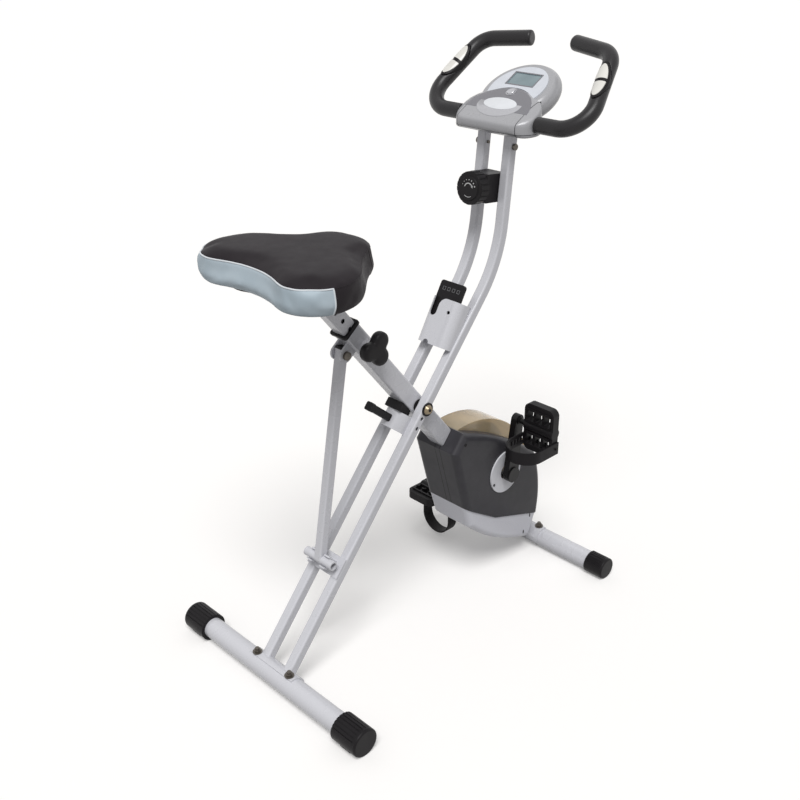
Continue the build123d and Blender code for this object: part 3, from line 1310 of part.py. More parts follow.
bar_center = Vector(BAR_LOW_CORNER[0], 0, BAR_LOW_CORNER[2])
bar_route = [bar_point(corner, -1) for corner in (BAR_END, BAR_HIGH_CORNER, BAR_LOW_CORNER)]
bar_route += [bar_point(corner, 1) for corner in (BAR_LOW_CORNER, BAR_HIGH_CORNER, BAR_END)]
with BuildPart() as handlebar:
    with BuildLine() as bar_line:
        FilletPolyline(*bar_route, radius=[BAR_HIGH_BEND, BAR_LOW_BEND, BAR_LOW_BEND, BAR_HIGH_BEND])
    with BuildSketch(Plane(origin=bar_route[0], z_dir=bar_route[1] - bar_route[0])):
        Circle(BAR_DIA / 2)
        Circle(BAR_DIA / 2 - BAR_WALL, mode=Mode.SUBTRACT)
    sweep(path=bar_line.wire())
save(handlebar, "handlebar")


def pulse_plane(sign):
    """Plane square to the rising run of the bar at the sensor, with x towards the rider."""
    low = bar_point(BAR_LOW_CORNER, sign)
    rise = bar_point(BAR_HIGH_CORNER, sign) - low
    along = rise.normalized()
    facing = Vector(*PULSE_FACING)
    facing = facing - along * facing.dot(along)
    return Plane(origin=low + rise * PULSE_PLACE, x_dir=facing, z_dir=along)


def pulse_patch(sign, inner, outer, length, width):
    """Oval patch of a ring round the bar, on the side that faces the rider."""
    square = pulse_plane(sign)
    with BuildPart() as patch:
        with BuildSketch(square):
            Circle(outer)
            Circle(inner, mode=Mode.SUBTRACT)
        extrude(amount=length / 2, both=True)
        with BuildSketch(Plane(origin=square.origin, x_dir=square.z_dir, z_dir=square.x_dir)):
            Ellipse(length / 2, width / 2)
        extrude(amount=outer, mode=Mode.INTERSECT)
    return patch.part


pulse_outer = GRIP_DIA / 2 + PULSE_PROUD
for side, sign in SIDES:
    bar_end = bar_point(BAR_END, sign)
    tip = (bar_end - bar_point(BAR_HIGH_CORNER, sign)).normalized() * GRIP_END
    grip_corners = [bar_point(corner, sign) for corner in (BAR_LOW_CORNER, BAR_HIGH_CORNER)]
    grip_start = bar_center + Vector(0, sign * GRIP_START, 0)
    with BuildPart() as grip:
        with BuildLine() as grip_line:
            FilletPolyline(grip_start, *grip_corners, bar_end + tip, radius=[BAR_LOW_BEND, BAR_HIGH_BEND])
        with BuildSketch(sideways(grip_start, grip_start.Y)):
            Circle(GRIP_DIA / 2)
        sweep(path=grip_line.wire())
        fillet(grip.faces().sort_by(Axis.X)[-1].edges(), GRIP_END)
        with BuildLine() as bore_line:
            FilletPolyline(grip_start, *grip_corners, bar_end, radius=[BAR_LOW_BEND, BAR_HIGH_BEND])
        with BuildSketch(sideways(grip_start, grip_start.Y)):
            Circle(BAR_DIA / 2 + RUNNING_FIT)
        sweep(path=bore_line.wire(), mode=Mode.SUBTRACT)
        recess = pulse_patch(sign, BAR_DIA / 2, GRIP_DIA, PULSE_LENGTH + 2 * GAP, PULSE_WIDTH + 2 * GAP)
        add(recess, mode=Mode.SUBTRACT)
    save(grip, f"grip_{side}")

with BuildPart() as pulse_housings:
    for side, sign in SIDES:
        add(pulse_patch(sign, BAR_DIA / 2 + RUNNING_FIT, pulse_outer, PULSE_LENGTH, PULSE_WIDTH))
save(pulse_housings, "pulse_housings")

with BuildPart() as pulse_plates:
    for side, sign in SIDES:
        leaf_inner = pulse_outer + RUNNING_FIT
        leaf_outer = pulse_outer + PULSE_LEAF_THICK
        add(pulse_patch(sign, leaf_inner, leaf_outer, PULSE_LEAF_LENGTH, PULSE_LEAF_WIDTH))
        with BuildSketch(pulse_plane(sign)):
            Circle(GRIP_DIA)
        extrude(amount=PULSE_BAND / 2, both=True, mode=Mode.SUBTRACT)
save(pulse_plates, "pulse_plates")

# Head bracket between the posts, bored for the bar
head_low = upper_plane(HEAD_LOW)
with BuildPart() as head_bracket:
    with BuildSketch(head_low):
        Rectangle(HEAD_DEPTH, 2 * post_inner)
        Rectangle(HEAD_DEPTH - 2 * HEAD_WALL, 2 * (post_inner - HEAD_WALL), mode=Mode.SUBTRACT)
    extrude(amount=bar_center.Z - HEAD_LOW)
    with BuildSketch(sideways(bar_center)):
        Circle(HEAD_RING_DIA / 2)
    extrude(amount=post_inner, both=True)
    with BuildSketch(sideways(bar_center)):
        Circle(BAR_DIA / 2 + RUNNING_FIT)
    extrude(amount=post_inner, both=True, mode=Mode.SUBTRACT)
    with BuildSketch(sideways(head_bolt_axis)):
        Circle(HEAD_BOLT_SHANK / 2 + RUNNING_FIT)
    extrude(amount=post_inner, both=True, mode=Mode.SUBTRACT)
save(head_bracket, "head_bracket")

# Console: a base over the bar, a round pod, its face, window and button
pod_center = Vector(CONSOLE_CENTER[0], 0, CONSOLE_CENTER[1])
pod_normal = Vector(-sin(radians(CONSOLE_TILT)), 0, cos(radians(CONSOLE_TILT)))
pod_plane = Plane(origin=pod_center, x_dir=(pod_normal.Z, 0, -pod_normal.X), z_dir=pod_normal)


def base_top(x):
    """Height of the top of the base, a little below the plane of the face."""
    return pod_center.Z + ((x - pod_center.X) * -pod_normal.X - BASE_SINK) / pod_normal.Z


with BuildSketch(Plane.XZ) as base_outline:
    with BuildLine():
        Polyline(
            (BASE_REAR, BASE_REAR_HEIGHT),
            (BASE_REAR, base_top(BASE_REAR)),
            (BASE_FRONT, base_top(BASE_FRONT)),
            (BASE_FRONT, BASE_LOW),
            (BASE_REAR + BASE_CHAMFER, BASE_LOW),
            close=True,
        )
    make_face()
base_middle = (BASE_REAR + BASE_FRONT) / 2


def base_solid(profile, inset):
    """Body with a side profile and a plan with rounded corners, both drawn in alike."""
    with BuildPart() as block:
        extrude(profile, amount=BASE_HALF_LENGTH - inset, both=True)
        with BuildSketch(Plane.XY):
            with Locations((base_middle, 0)):
                RectangleRounded(
                    BASE_FRONT - BASE_REAR - 2 * inset,
                    2 * (BASE_HALF_LENGTH - inset),
                    BASE_CORNER - inset,
                )
        extrude(amount=2 * BASE_LOW, mode=Mode.INTERSECT)
    return block.part


# Cowl of the base: a raised arch over the lower part of the face
cowl_depth = pod_center.X - BASE_REAR
with BuildPart() as cowl:
    with BuildSketch(pod_plane.offset(-BASE_SINK)):
        with Locations((COWL_OFFSET, 0)):
            Circle(COWL_RADIUS)
    extrude(amount=BASE_SINK + COWL_RISE)
    with BuildSketch(Plane.XY):
        with Locations((BASE_REAR + cowl_depth / 2, 0)):
            RectangleRounded(cowl_depth, 2 * BASE_HALF_LENGTH, BASE_CORNER)
    extrude(amount=2 * BASE_LOW, mode=Mode.INTERSECT)
    fillet(cowl.faces().sort_by(Axis(pod_center, pod_normal))[-1].edges(), COWL_EDGE)

button_well = BUTTON_DEPTH + BUTTON_TRAVEL + GAP
base_block = base_solid(base_outline.sketch, 0)
base_hollow = base_solid(offset(base_outline.sketch, amount=-BASE_WALL), BASE_WALL)
with BuildPart() as base:
    add(base_block)
    add(base_hollow, mode=Mode.SUBTRACT)
    add(cowl.part)
    with BuildSketch(sideways(bar_center)):
        Circle(BAR_DIA / 2 + GAP)
    extrude(amount=2 * BASE_HALF_LENGTH, both=True, mode=Mode.SUBTRACT)
    with BuildSketch(sideways(bar_center)):
        Circle(HEAD_RING_DIA / 2 + GAP)
    extrude(amount=post_inner + GAP, both=True, mode=Mode.SUBTRACT)
    with BuildSketch(pod_plane.offset(-button_well)):
        with Locations((BUTTON_OFFSET, 0)):
            Circle(BUTTON_DIA / 2 + GAP)
    extrude(amount=button_well + BUTTON_DIA, mode=Mode.SUBTRACT)
    with BuildSketch(head_low):
        Rectangle(POST_SIDE + 2 * GAP, 2 * (post_outer + GAP))
    extrude(amount=bar_center.Z - HEAD_LOW, mode=Mode.SUBTRACT)
save(base, "console_base")

pod_back = (CONSOLE_BACK_RADIUS, -CONSOLE_THICK)
with BuildPart() as pod:
    with BuildSketch(Plane(origin=pod_center, x_dir=pod_plane.x_dir, z_dir=(0, -1, 0))):
        with BuildLine():
            Polyline((CONSOLE_RADIUS, 0), (0, 0), (0, -CONSOLE_THICK), pod_back)
            ThreePointArc(pod_back, CONSOLE_BELLY, (CONSOLE_RADIUS, 0))
        make_face()
    revolve(axis=Axis(pod_center, pod_normal))
    fillet(pod.faces().sort_by(Axis(pod_center, pod_normal))[-1].edges(), CONSOLE_EDGE)
    add(base_block, mode=Mode.SUBTRACT)
    add(cowl.part, mode=Mode.SUBTRACT)
    with BuildSketch(pod_plane):
        with Locations((BUTTON_OFFSET, 0)):
            Circle(BUTTON_DIA / 2 + GAP)
    extrude(amount=-button_well, mode=Mode.SUBTRACT)
save(pod, "console_body")

with BuildPart() as face:
    with BuildSketch(pod_plane):
        Circle(FACE_RADIUS)
        with Locations((COWL_OFFSET, 0)):
            Circle(COWL_RADIUS + GAP, mode=Mode.SUBTRACT)
        with Locations((LCD_OFFSET, 0)):
            Rectangle(LCD_HEIGHT + 2 * GAP, LCD_LENGTH + 2 * GAP, mode=Mode.SUBTRACT)
    extrude(amount=FACE_THICK)
save(face, "console_face")

with BuildPart() as lcd:
    with BuildSketch(pod_plane):
        with Locations((LCD_OFFSET, 0)):
            Rectangle(LCD_HEIGHT, LCD_LENGTH)
    extrude(amount=LCD_THICK)
save(lcd, "lcd_window")

with BuildPart() as button:
    with BuildSketch(pod_plane.offset(-BUTTON_DEPTH)):
        with Locations((BUTTON_OFFSET, 0)):
            Circle(BUTTON_DIA / 2)
    extrude(amount=BUTTON_DEPTH + COWL_RISE + BUTTON_PROUD)
    fillet(button.edges().sort_by(Axis(pod_center, pod_normal))[-1], BUTTON_PROUD / 2)
save(button, "console_button")
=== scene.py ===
"""Looks of a folding exercise bike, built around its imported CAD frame. Metres and degrees, +Z up."""
from math import cos, pi, radians, sin, tau

import bpy
from mathutils import Matrix, Vector
from mathutils.bvhtree import BVHTree


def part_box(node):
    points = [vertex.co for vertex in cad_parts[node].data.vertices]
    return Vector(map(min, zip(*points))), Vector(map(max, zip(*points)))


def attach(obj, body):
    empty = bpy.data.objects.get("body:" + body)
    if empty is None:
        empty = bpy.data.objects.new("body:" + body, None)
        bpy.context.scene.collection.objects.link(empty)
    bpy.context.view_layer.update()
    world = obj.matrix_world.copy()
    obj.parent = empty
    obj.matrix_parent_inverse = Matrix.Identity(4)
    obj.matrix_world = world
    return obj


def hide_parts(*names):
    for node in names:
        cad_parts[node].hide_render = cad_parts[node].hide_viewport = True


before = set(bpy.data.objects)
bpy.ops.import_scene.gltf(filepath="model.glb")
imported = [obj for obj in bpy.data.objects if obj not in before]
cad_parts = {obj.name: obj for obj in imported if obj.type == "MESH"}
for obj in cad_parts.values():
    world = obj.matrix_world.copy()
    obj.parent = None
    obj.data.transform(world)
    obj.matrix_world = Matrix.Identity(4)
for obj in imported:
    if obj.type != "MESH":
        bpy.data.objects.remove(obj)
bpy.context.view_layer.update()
scene = bpy.context.scene
scene.view_settings.view_transform = "Standard"
MM = 0.001
ALONG = Vector((1, 0, 0))
ACROSS = Vector((0, 1, 0))
UPWARD = Vector((0, 0, 1))

# Camera, found from the photograph: place, turns, and lens and sensor in millimetres
CAMERA_PLACE = (-1.2974, -1.2871, 1.3666)
CAMERA_AZIMUTH = -44.54
CAMERA_ELEVATION = 25.90
CAMERA_LENS = 47.33
CAMERA_SENSOR = 36

# Console face: its plane, and what lies on it, measured up that plane or out from it
FACE_CENTER = Vector((0.277, 0, 1.033))
FACE_TILT = 30
FACE_TOP = 2 * MM
COWL_TOP = 4 * MM
PLATE_THICK = 0.7 * MM
RAISED_THICK = 2 * PLATE_THICK
BAND_SKIN = 0.3 * MM
BAND_LOW = -70 * MM
MOON_PLACE = -56 * MM
MOON_HALF_WIDTH = 50 * MM
MOON_HALF_HEIGHT = 32 * MM
MOON_TOP = -50 * MM
LABEL_PLACE = -53 * MM
LABEL_HALF_WIDTH = 38 * MM
LABEL_HALF_HEIGHT = 16 * MM
BUTTON_PLACE = -18 * MM
BUTTON_RADIUS = 8 * MM
BUTTON_RIM = 1.6 * MM
BUTTON_ROOM = 0.4 * MM
BUTTON_WELL = 14 * MM
WINDOW_PLACE = 23 * MM
WINDOW_LENGTH = 62 * MM
WINDOW_HEIGHT = 33 * MM
WINDOW_RIM = 2.5 * MM

# Console base and the bracket below it: softening, seams to both sides, and heights of seam and cut
BASE_VOXEL = 2.5 * MM
BASE_SOFTENING = 30
BASE_SEAM = 70 * MM
BASE_PARTING = 0.968
BRACKET_LOW = 0.957

# Seams between mouldings
SEAM_WIDTH = 1.1 * MM
SEAM_PROUD = 0.12 * MM

# Tension knob: lean of its face, and the marks on it
KNOB_LEAN = 5.4
MARK_THICK = 0.25 * MM
ARROW_RADIUS = 9.5 * MM
ARROW_WIDTH = 1.8 * MM
ARROW_START = -65
ARROW_SWEEP = 140
ARROW_HEAD = 1.6 * ARROW_WIDTH
ARROW_HEAD_SIDES = 3
SCALE_RADIUS = 16 * MM
SCALE_DOTS = 7
SCALE_START = -70
SCALE_STEP = 23
SCALE_DOT = 0.6 * MM
SCALE_GROWTH = 0.12 * MM
DOT_SIDES = 24
LINE_WIDTH = ARROW_WIDTH / 2
LINE_START = 150
LINE_SWEEP = 60

# Plate in the holder: lean of its face, and the square frames on it
HOLDER_LEAN = 60.6
KEY_SIDE = 7 * MM
KEY_RIM = 0.8 * MM
KEY_DROP = 15 * MM
KEY_PLACES = (-18 * MM, -6 * MM, 6 * MM, 18 * MM)

# Drive housing and pivot: screws and slots placed by X and Z, seams by Y
DISC_SCREW = (0.187, 0.237)
NECK_SCREW = (0.096, 0.366)
PIVOT_SCREW = (0, 0.474)
SCREW_RADIUS = 3 * MM
SCREW_HEIGHT = 1.2 * MM
SCREW_SIDES = 32
SOCKET_RIM = SCREW_RADIUS / 3
SOCKET_DEPTH = SCREW_HEIGHT / 2
SKIRT_SLOTS = ((0.3228, 0.1015), (0.3032, 0.0663))
SLOT_HALF_LENGTH = 5 * MM
SLOT_SHARE = 0.38
SLOT_THICK = PLATE_THICK / 2
HOUSING_SEAMS = (-1 * MM, -14 * MM)
PROBE_START = -0.3

# Seat: middle, end of the pale band and nose seams by X, the piping by height
SEAT_MIDDLE = -0.244
SEAT_BAND_END = -0.326
SEAT_NOSE_SEAMS = (-0.162, -0.150)
SEAT_PIPING_HEIGHT = 0.8295
SEAT_VOXEL = 5 * MM
SEAT_SHRINK = 2 * MM
SEAT_SWELL = 5 * MM
SEAT_PRESSURE = 4
SEAT_FRAMES = 20
SEAT_RELAXING = 12
PIPING_RADIUS = 1.4 * MM
PIPING_PROUD = 0.2 * PIPING_RADIUS
PIPING_STEPS = 240
WELT_RADIUS = 0.7 * MM
SIDE_STEPS = 16

# Knob under the seat
KNOB_VOXEL = 1.5 * MM
KNOB_SOFTENING = 44
KNOB_FILL = 2.6 * MM

# Grips
GRIP_VOXEL = 2 * MM
GRIP_SOFTENING = 3

# Mesh work: merging, rounding, and the slopes that tell faces apart
MERGE = 0.01 * MM
FINE_MERGE = 0.001 * MM
SHARP_EDGE = 35
EASED_SHARE = 1 / 3
EASING_STEPS = 2
PLATE_SIDES = 96
ARC_STEPS = 36
TUBE_STEPS = 3
FLAT_FACES = 0.99
UPPER_FACES = 0.9
SEAT_UNDERSIDE = -0.8

# Colours and textures: the curve of a screen, and the part of a noise that is used
SCREEN_STEPS = 255
SCREEN_LIFT = 0.055
SCREEN_POWER = 2.4
NOISE_LOW = 0.3
NOISE_HIGH = 0.7

# Light and floor
WHITE = (1, 1, 1, 1)
ROOM_LIGHT = 0.36
LAMP_LIGHT = 2.3
LAMP_SPREAD = 28
LAMP_WAY = Vector((0.42, 0.38, -0.92))
FLOOR_SIZE = 40
FLOOR_GLOW = 0.19
FLOOR_BOUNCE = 0.3


# Finishes
def screen(red, green, blue):
    """A colour as it shows on a screen, 0 to 255, turned into the shader's scale."""
    shares = [channel / SCREEN_STEPS for channel in (red, green, blue)]
    return tuple(((share + SCREEN_LIFT) / (1 + SCREEN_LIFT)) ** SCREEN_POWER for share in shares)


def shader_of(material):
    return material.node_tree.nodes["Principled BSDF"]


def new_finish(name, color, roughness, metallic=0.0, shine=0.5):
    """A finish with one colour, roughness, metal share and shine, to be worked on further."""
    material = bpy.data.materials.new(name)
    material.use_nodes = True
    shader = shader_of(material)
    shader.inputs["Base Color"].default_value = (*color, 1)
    shader.inputs["Roughness"].default_value = roughness
    shader.inputs["Metallic"].default_value = metallic
    shader.inputs["Specular IOR Level"].default_value = shine
    return material


def texture(material, kind, scale, output, stretch=(1, 1, 1), detail=None):
    """The output of a procedural texture on the piece's own coordinates."""
    nodes = material.node_tree.nodes
    links = material.node_tree.links
    place = nodes.new("ShaderNodeTexCoord")
    turn = nodes.new("ShaderNodeMapping")
    turn.inputs["Scale"].default_value = stretch
    pattern = nodes.new(kind)
    pattern.inputs["Scale"].default_value = scale
    if detail is not None:
        pattern.inputs["Detail"].default_value = detail
    links.new(place.outputs["Object"], turn.inputs["Vector"])
    links.new(turn.outputs["Vector"], pattern.inputs["Vector"])
    return pattern.outputs[output]


def noise(material, scale, stretch=(1, 1, 1), detail=4):
    return texture(material, "ShaderNodeTexNoise", scale, "Fac", stretch, detail)


def cells(material, scale):
    return texture(material, "ShaderNodeTexVoronoi", scale, "Distance")


def vary_color(material, source, dark, light, low=0.35, high=0.65):
    """Base colour running from dark to light with a texture."""
    nodes = material.node_tree.nodes
    links = material.node_tree.links
    ramp = nodes.new("ShaderNodeValToRGB")
    ramp.color_ramp.elements[0].position = low
    ramp.color_ramp.elements[0].color = (*dark, 1)
    ramp.color_ramp.elements[1].position = high
    ramp.color_ramp.elements[1].color = (*light, 1)
    links.new(source, ramp.inputs["Fac"])
    links.new(ramp.outputs["Color"], shader_of(material).inputs["Base Color"])


def vary_roughness(material, source, low, high):
    """Roughness running between two values with a texture."""
    nodes = material.node_tree.nodes
    links = material.node_tree.links
    span = nodes.new("ShaderNodeMapRange")
    span.inputs["From Min"].default_value = NOISE_LOW
    span.inputs["From Max"].default_value = NOISE_HIGH
    span.inputs["To Min"].default_value = low
    span.inputs["To Max"].default_value = high
    links.new(source, span.inputs["Value"])
    links.new(span.outputs["Result"], shader_of(material).inputs["Roughness"])


def raise_surface(material, source, distance, strength):
    """A bump from a texture, as high as distance."""
    nodes = material.node_tree.nodes
    links = material.node_tree.links
    bump = nodes.new("ShaderNodeBump")
    bump.inputs["Strength"].default_value = strength
    bump.inputs["Distance"].default_value = distance
    links.new(source, bump.inputs["Height"])
    links.new(bump.outputs["Normal"], shader_of(material).inputs["Normal"])


def lacquer(name, dark, light, roughness, metallic):
    """Sprayed metallic lacquer: fine flakes, a soft coat and faint handling marks."""
    material = new_finish(name, light, roughness, metallic, shine=0.3)
    shader_of(material).inputs["Coat Weight"].default_value = 0.04
    shader_of(material).inputs["Coat Roughness"].default_value = 0.15
    vary_color(material, noise(material, scale=1400, detail=2), dark, light)
    vary_roughness(material, noise(material, scale=35), low=roughness - 0.02, high=roughness + 0.03)
    raise_surface(material, noise(material, scale=700, detail=2), distance=0.02 * MM, strength=0.1)
    return material


def moulded(name, color, roughness, grain=900, height=0.08, shine=0.3, spread=0.06):
    """Moulded plastic: a grain of a height in millimetres, and slightly uneven colour and gloss."""
    material = new_finish(name, color, roughness, shine=shine)
    darker = tuple(channel * (1 - spread) for channel in color)
    lighter = tuple(channel * (1 + spread) for channel in color)
    vary_color(material, noise(material, scale=60), darker, lighter)
    vary_roughness(material, noise(material, scale=28), low=roughness - 0.05, high=roughness + 0.08)
    raise_surface(material, noise(material, scale=grain, detail=2), distance=height * MM, strength=0.35)
    return material


def foam_finish():
    """Foam sleeve: a soft sheen over small cells."""
    material = new_finish("foam_sleeve", screen(26, 24, 26), roughness=0.36, shine=0.34)
    vary_color(
        material, cells(material, scale=900), screen(20, 18, 20), screen(30, 28, 30), low=0.0, high=0.7
    )
    raise_surface(material, cells(material, scale=1100), distance=0.15 * MM, strength=0.4)
    shader_of(material).inputs["Sheen Weight"].default_value = 0.15
    shader_of(material).inputs["Sheen Roughness"].default_value = 0.4
    return material


def vinyl_finish(name, dark, light, roughness):
    """Grained vinyl: small irregular cells with soft creases between them."""
    material = new_finish(name, light, roughness, shine=0.09)
    vary_color(material, noise(material, scale=22), dark, light)
    vary_roughness(material, noise(material, scale=60), low=roughness - 0.02, high=roughness + 0.03)
    raise_surface(material, cells(material, scale=1100), distance=0.06 * MM, strength=0.3)
    return material


def band_finish():
    """Pale band round the seat, a little mottled."""
    material = new_finish("seat_band", screen(182, 195, 204), roughness=0.5, shine=0.2)
    vary_color(material, noise(material, scale=14), screen(174, 188, 197), screen(190, 202, 210))
    raise_surface(material, cells(material, scale=1100), distance=0.08 * MM, strength=0.3)
    return material


def iron_finish():
    """Turned cast iron: dark, with fine streaks of uneven gloss."""
    material = new_finish("turned_iron", screen(70, 70, 74), roughness=0.42, metallic=0.8)
    vary_color(material, noise(material, scale=80), screen(52, 52, 56), screen(84, 84, 88))
    vary_roughness(material, noise(material, scale=240, stretch=(1, 8, 1)), low=0.3, high=0.55)
    return material


def smoke_finish():
    """Smoked clear plastic of the wheel cover."""
    material = new_finish("smoked_plastic", screen(222, 206, 176), roughness=0.1)
    shader_of(material).inputs["Transmission Weight"].default_value = 0.62
    shader_of(material).inputs["IOR"].default_value = 1.3
    vary_color(material, noise(material, scale=9), screen(214, 197, 166), screen(230, 215, 188))
    vary_roughness(material, noise(material, scale=40), low=0.08, high=0.16)
    return material


def glass_finish():
    """Grey display window with a faintly clouded colour."""
    material = new_finish("display_window", screen(112, 132, 138), roughness=0.12)
    shader_of(material).inputs["Coat Weight"].default_value = 0.6
    vary_color(material, noise(material, scale=30), screen(104, 124, 131), screen(122, 142, 147))
    vary_roughness(material, noise(material, scale=90), low=0.08, high=0.16)
    return material


silver = lacquer(
    "silver_lacquer", screen(203, 203, 208), screen(212, 212, 217), roughness=0.27, metallic=0.08
)
black = moulded("black_plastic", screen(24, 22, 24), roughness=0.42, shine=0.16)
black_paint = moulded(
    "black_paint", screen(18, 17, 18), roughness=0.3, grain=500, height=0.02, shine=0.22
)
rubber = moulded(
    "black_rubber", screen(22, 20, 22), roughness=0.5, grain=600, height=0.12, shine=0.16
)
charcoal = moulded(
    "charcoal_housing", screen(56, 55, 59), roughness=0.34, grain=1100, height=0.04, shine=0.2
)
skirt_silver = lacquer(
    "skirt_silver", screen(208, 208, 215), screen(218, 218, 225), roughness=0.32, metallic=0.04
)
console_silver = lacquer(
    "console_silver", screen(160, 160, 163), screen(176, 176, 179), roughness=0.28, metallic=0.08
)
console_grey = lacquer(
    "console_grey", screen(118, 117, 122), screen(134, 133, 138), roughness=0.32, metallic=0.05
)
moon_silver = lacquer(
    "moon_silver", screen(176, 176, 180), screen(192, 192, 196), roughness=0.32, metallic=0.05
)
face_pale = moulded(
    "face_pale", screen(212, 215, 222), roughness=0.35, grain=1500, height=0.02, spread=0.02
)
label_white = moulded(
    "label_white", screen(226, 228, 232), roughness=0.4, grain=1500, height=0.02, spread=0.02
)
disc_white = moulded(
    "disc_white", screen(222, 222, 227), roughness=0.38, grain=1000, height=0.03, spread=0.02
)
plate_pale = moulded(
    "sensor_plate", screen(226, 224, 218), roughness=0.28, grain=1600, height=0.02, shine=0.45, spread=0.02
)
mark_white = moulded(
    "mark_white", screen(205, 205, 205), roughness=0.5, grain=1600, height=0.01, shine=0.2, spread=0.03
)
mark_grey = moulded(
    "mark_grey", screen(120, 120, 122), roughness=0.5, grain=1600, height=0.01, shine=0.2, spread=0.03
)
steel = lacquer("dark_steel", screen(84, 79, 74), screen(112, 106, 98), roughness=0.32, metallic=0.6)
brass = lacquer("dull_brass", screen(128, 114, 92), screen(158, 144, 120), roughness=0.32, metallic=0.6)
zinc = lacquer("bright_zinc", screen(176, 176, 180), screen(204, 204, 208), roughness=0.3, metallic=0.7)
iron = iron_finish()
smoke = smoke_finish()
window_glass = glass_finish()
foam = foam_finish()
vinyl = vinyl_finish("seat_vinyl", screen(38, 34, 37), screen(43, 39, 42), roughness=0.5)
band = band_finish()
piping_white = vinyl_finish(
    "piping_white", screen(214, 218, 222), screen(232, 236, 240), roughness=0.45
)

NODE_FINISHES = (
    (silver, ("post_tube_right", "post_tube_left", "rear_foot_plate", "rear_stabilizer")),
    (silver, ("strut_cradle", "stop_bracket", "holder_bracket", "head_bracket", "handlebar")),
    (silver, ("main_tube", "front_stabilizer", "strut_tube", "seat_post")),
    (black, ("rear_cap_right", "rear_cap_left", "front_cap_right", "front_cap_left", "bracket_insert")),
    (black, ("pivot_washers", "tension_mount", "tension_knob", "lock_pin", "pulse_housings")),
    (black, ("roller_right", "roller_left", "tube_collar", "drive_pulley", "pedal_right", "pedal_left")),
    (black, ("strut_plugs", "seat_knob", "seat_pan")),
    (black_paint, ("crank_arm_right", "crank_arm_left")),
    (rubber, ("stop_bumper", "drive_belt", "pedal_strap_right", "pedal_strap_left")),
    (charcoal, ("housing_right", "housing_left")),
    (skirt_silver, ("housing_skirt",)),
    (console_silver, ("console_base", "console_body")),
    (face_pale, ("console_face",)),
    (disc_white, ("crank_discs",)),
    (plate_pale, ("pulse_plates",)),
    (steel, ("frame_bolts", "main_bolts")),
    (brass, ("pivot_bolt",)),
    (zinc, ("console_button", "crank_axle", "bottom_bearings", "magnet_arm", "seat_pin")),
    (iron, ("flywheel",)),
    (smoke, ("flywheel_cover",)),
    (window_glass, ("lcd_window",)),
    (foam, ("grip_right", "grip_left")),
    (vinyl, ("seat_cushion",)),
)
for material, names in NODE_FINISHES:
    for name in names:
        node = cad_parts[name]
        node.data.materials.clear()
        node.data.materials.append(material)


# Bench tools
def take(piece):
    """Select one piece alone and make it the one worked on."""
    bpy.ops.object.select_all(action="DESELECT")
    piece.select_set(True)
    bpy.context.view_layer.objects.active = piece


def edit_all(piece):
    """Go into edit mode with all of one piece selected."""
    take(piece)
    bpy.ops.object.mode_set(mode="EDIT")
    bpy.ops.mesh.select_all(action="SELECT")


def select_faces(piece, wanted):
    """Go into edit mode with the faces selected that pass a test."""
    take(piece)
    bpy.ops.object.mode_set(mode="EDIT")
    bpy.ops.mesh.select_mode(type="FACE")
    bpy.ops.mesh.select_all(action="DESELECT")
    bpy.ops.object.mode_set(mode="OBJECT")
    for face in piece.data.polygons:
        face.select = wanted(face)
    bpy.ops.object.mode_set(mode="EDIT")


def copy_of(source, name):
    """A piece that starts as a merged copy of a CAD node or of another piece."""
    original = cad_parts[source] if isinstance(source, str) else source
    piece = bpy.data.objects.new(name, original.data.copy())
    scene.collection.objects.link(piece)
    piece.data.materials.clear()
    edit_all(piece)
    bpy.ops.mesh.remove_doubles(threshold=MERGE)
    bpy.ops.mesh.customdata_custom_splitnormals_clear()
    bpy.ops.object.mode_set(mode="OBJECT")
    return piece


def apply_modifiers(piece):
    take(piece)
    for modifier in list(piece.modifiers):
        bpy.ops.object.modifier_apply(modifier=modifier.name)


def freeze(piece):
    """Put a piece's place, turn and scale into its mesh."""
    take(piece)
    bpy.ops.object.transform_apply(location=True, rotation=True, scale=True)


def settle(piece, material, body):
    """Give a finished piece its finish and its body."""
    freeze(piece)
    if not piece.data.materials:
        piece.data.materials.append(material)
    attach(piece, body)
    return piece


def shade_by_angle(piece):
    """Shade a piece smooth, apart from its sharp edges."""
    take(piece)
    bpy.ops.object.shade_smooth_by_angle(angle=radians(SHARP_EDGE))


def ease_edges(piece, width):
    """Round the sharp edges of a piece over."""
    easing = piece.modifiers.new("eased", "BEVEL")
    easing.width = width
    easing.segments = EASING_STEPS
    easing.limit_method = "ANGLE"
    apply_modifiers(piece)
    shade_by_angle(piece)


def thicken(piece, thick):
    """Turn a cut skin into a thin layer that stands out from where it was cut."""
    layer = piece.modifiers.new("layer", "SOLIDIFY")
    layer.thickness = thick
    layer.offset = 1
    apply_modifiers(piece)
    shade_by_angle(piece)


def remesh(piece, voxel):
    """Turn a piece into one closed skin of even small faces."""
    take(piece)
    piece.data.remesh_voxel_size = voxel
    bpy.ops.object.voxel_remesh()


def soften(piece, rounds):
    """Round a remeshed piece over, more with each round."""
    smoothing = piece.modifiers.new("soften", "SMOOTH")
    smoothing.iterations = rounds
    apply_modifiers(piece)


def swell(piece, distance):
    """Move the skin of a piece outwards, or inwards by a distance below zero."""
    edit_all(piece)
    bpy.ops.transform.shrink_fatten(value=distance)
    bpy.ops.object.mode_set(mode="OBJECT")


def cut(piece, cutter):
    """Take one piece's shape out of another; the cutter is used up."""
    trim = piece.modifiers.new("trim", "BOOLEAN")
    trim.operation = "DIFFERENCE"
    trim.object = cutter
    trim.solver = "EXACT"
    apply_modifiers(piece)
    bpy.data.objects.remove(cutter)


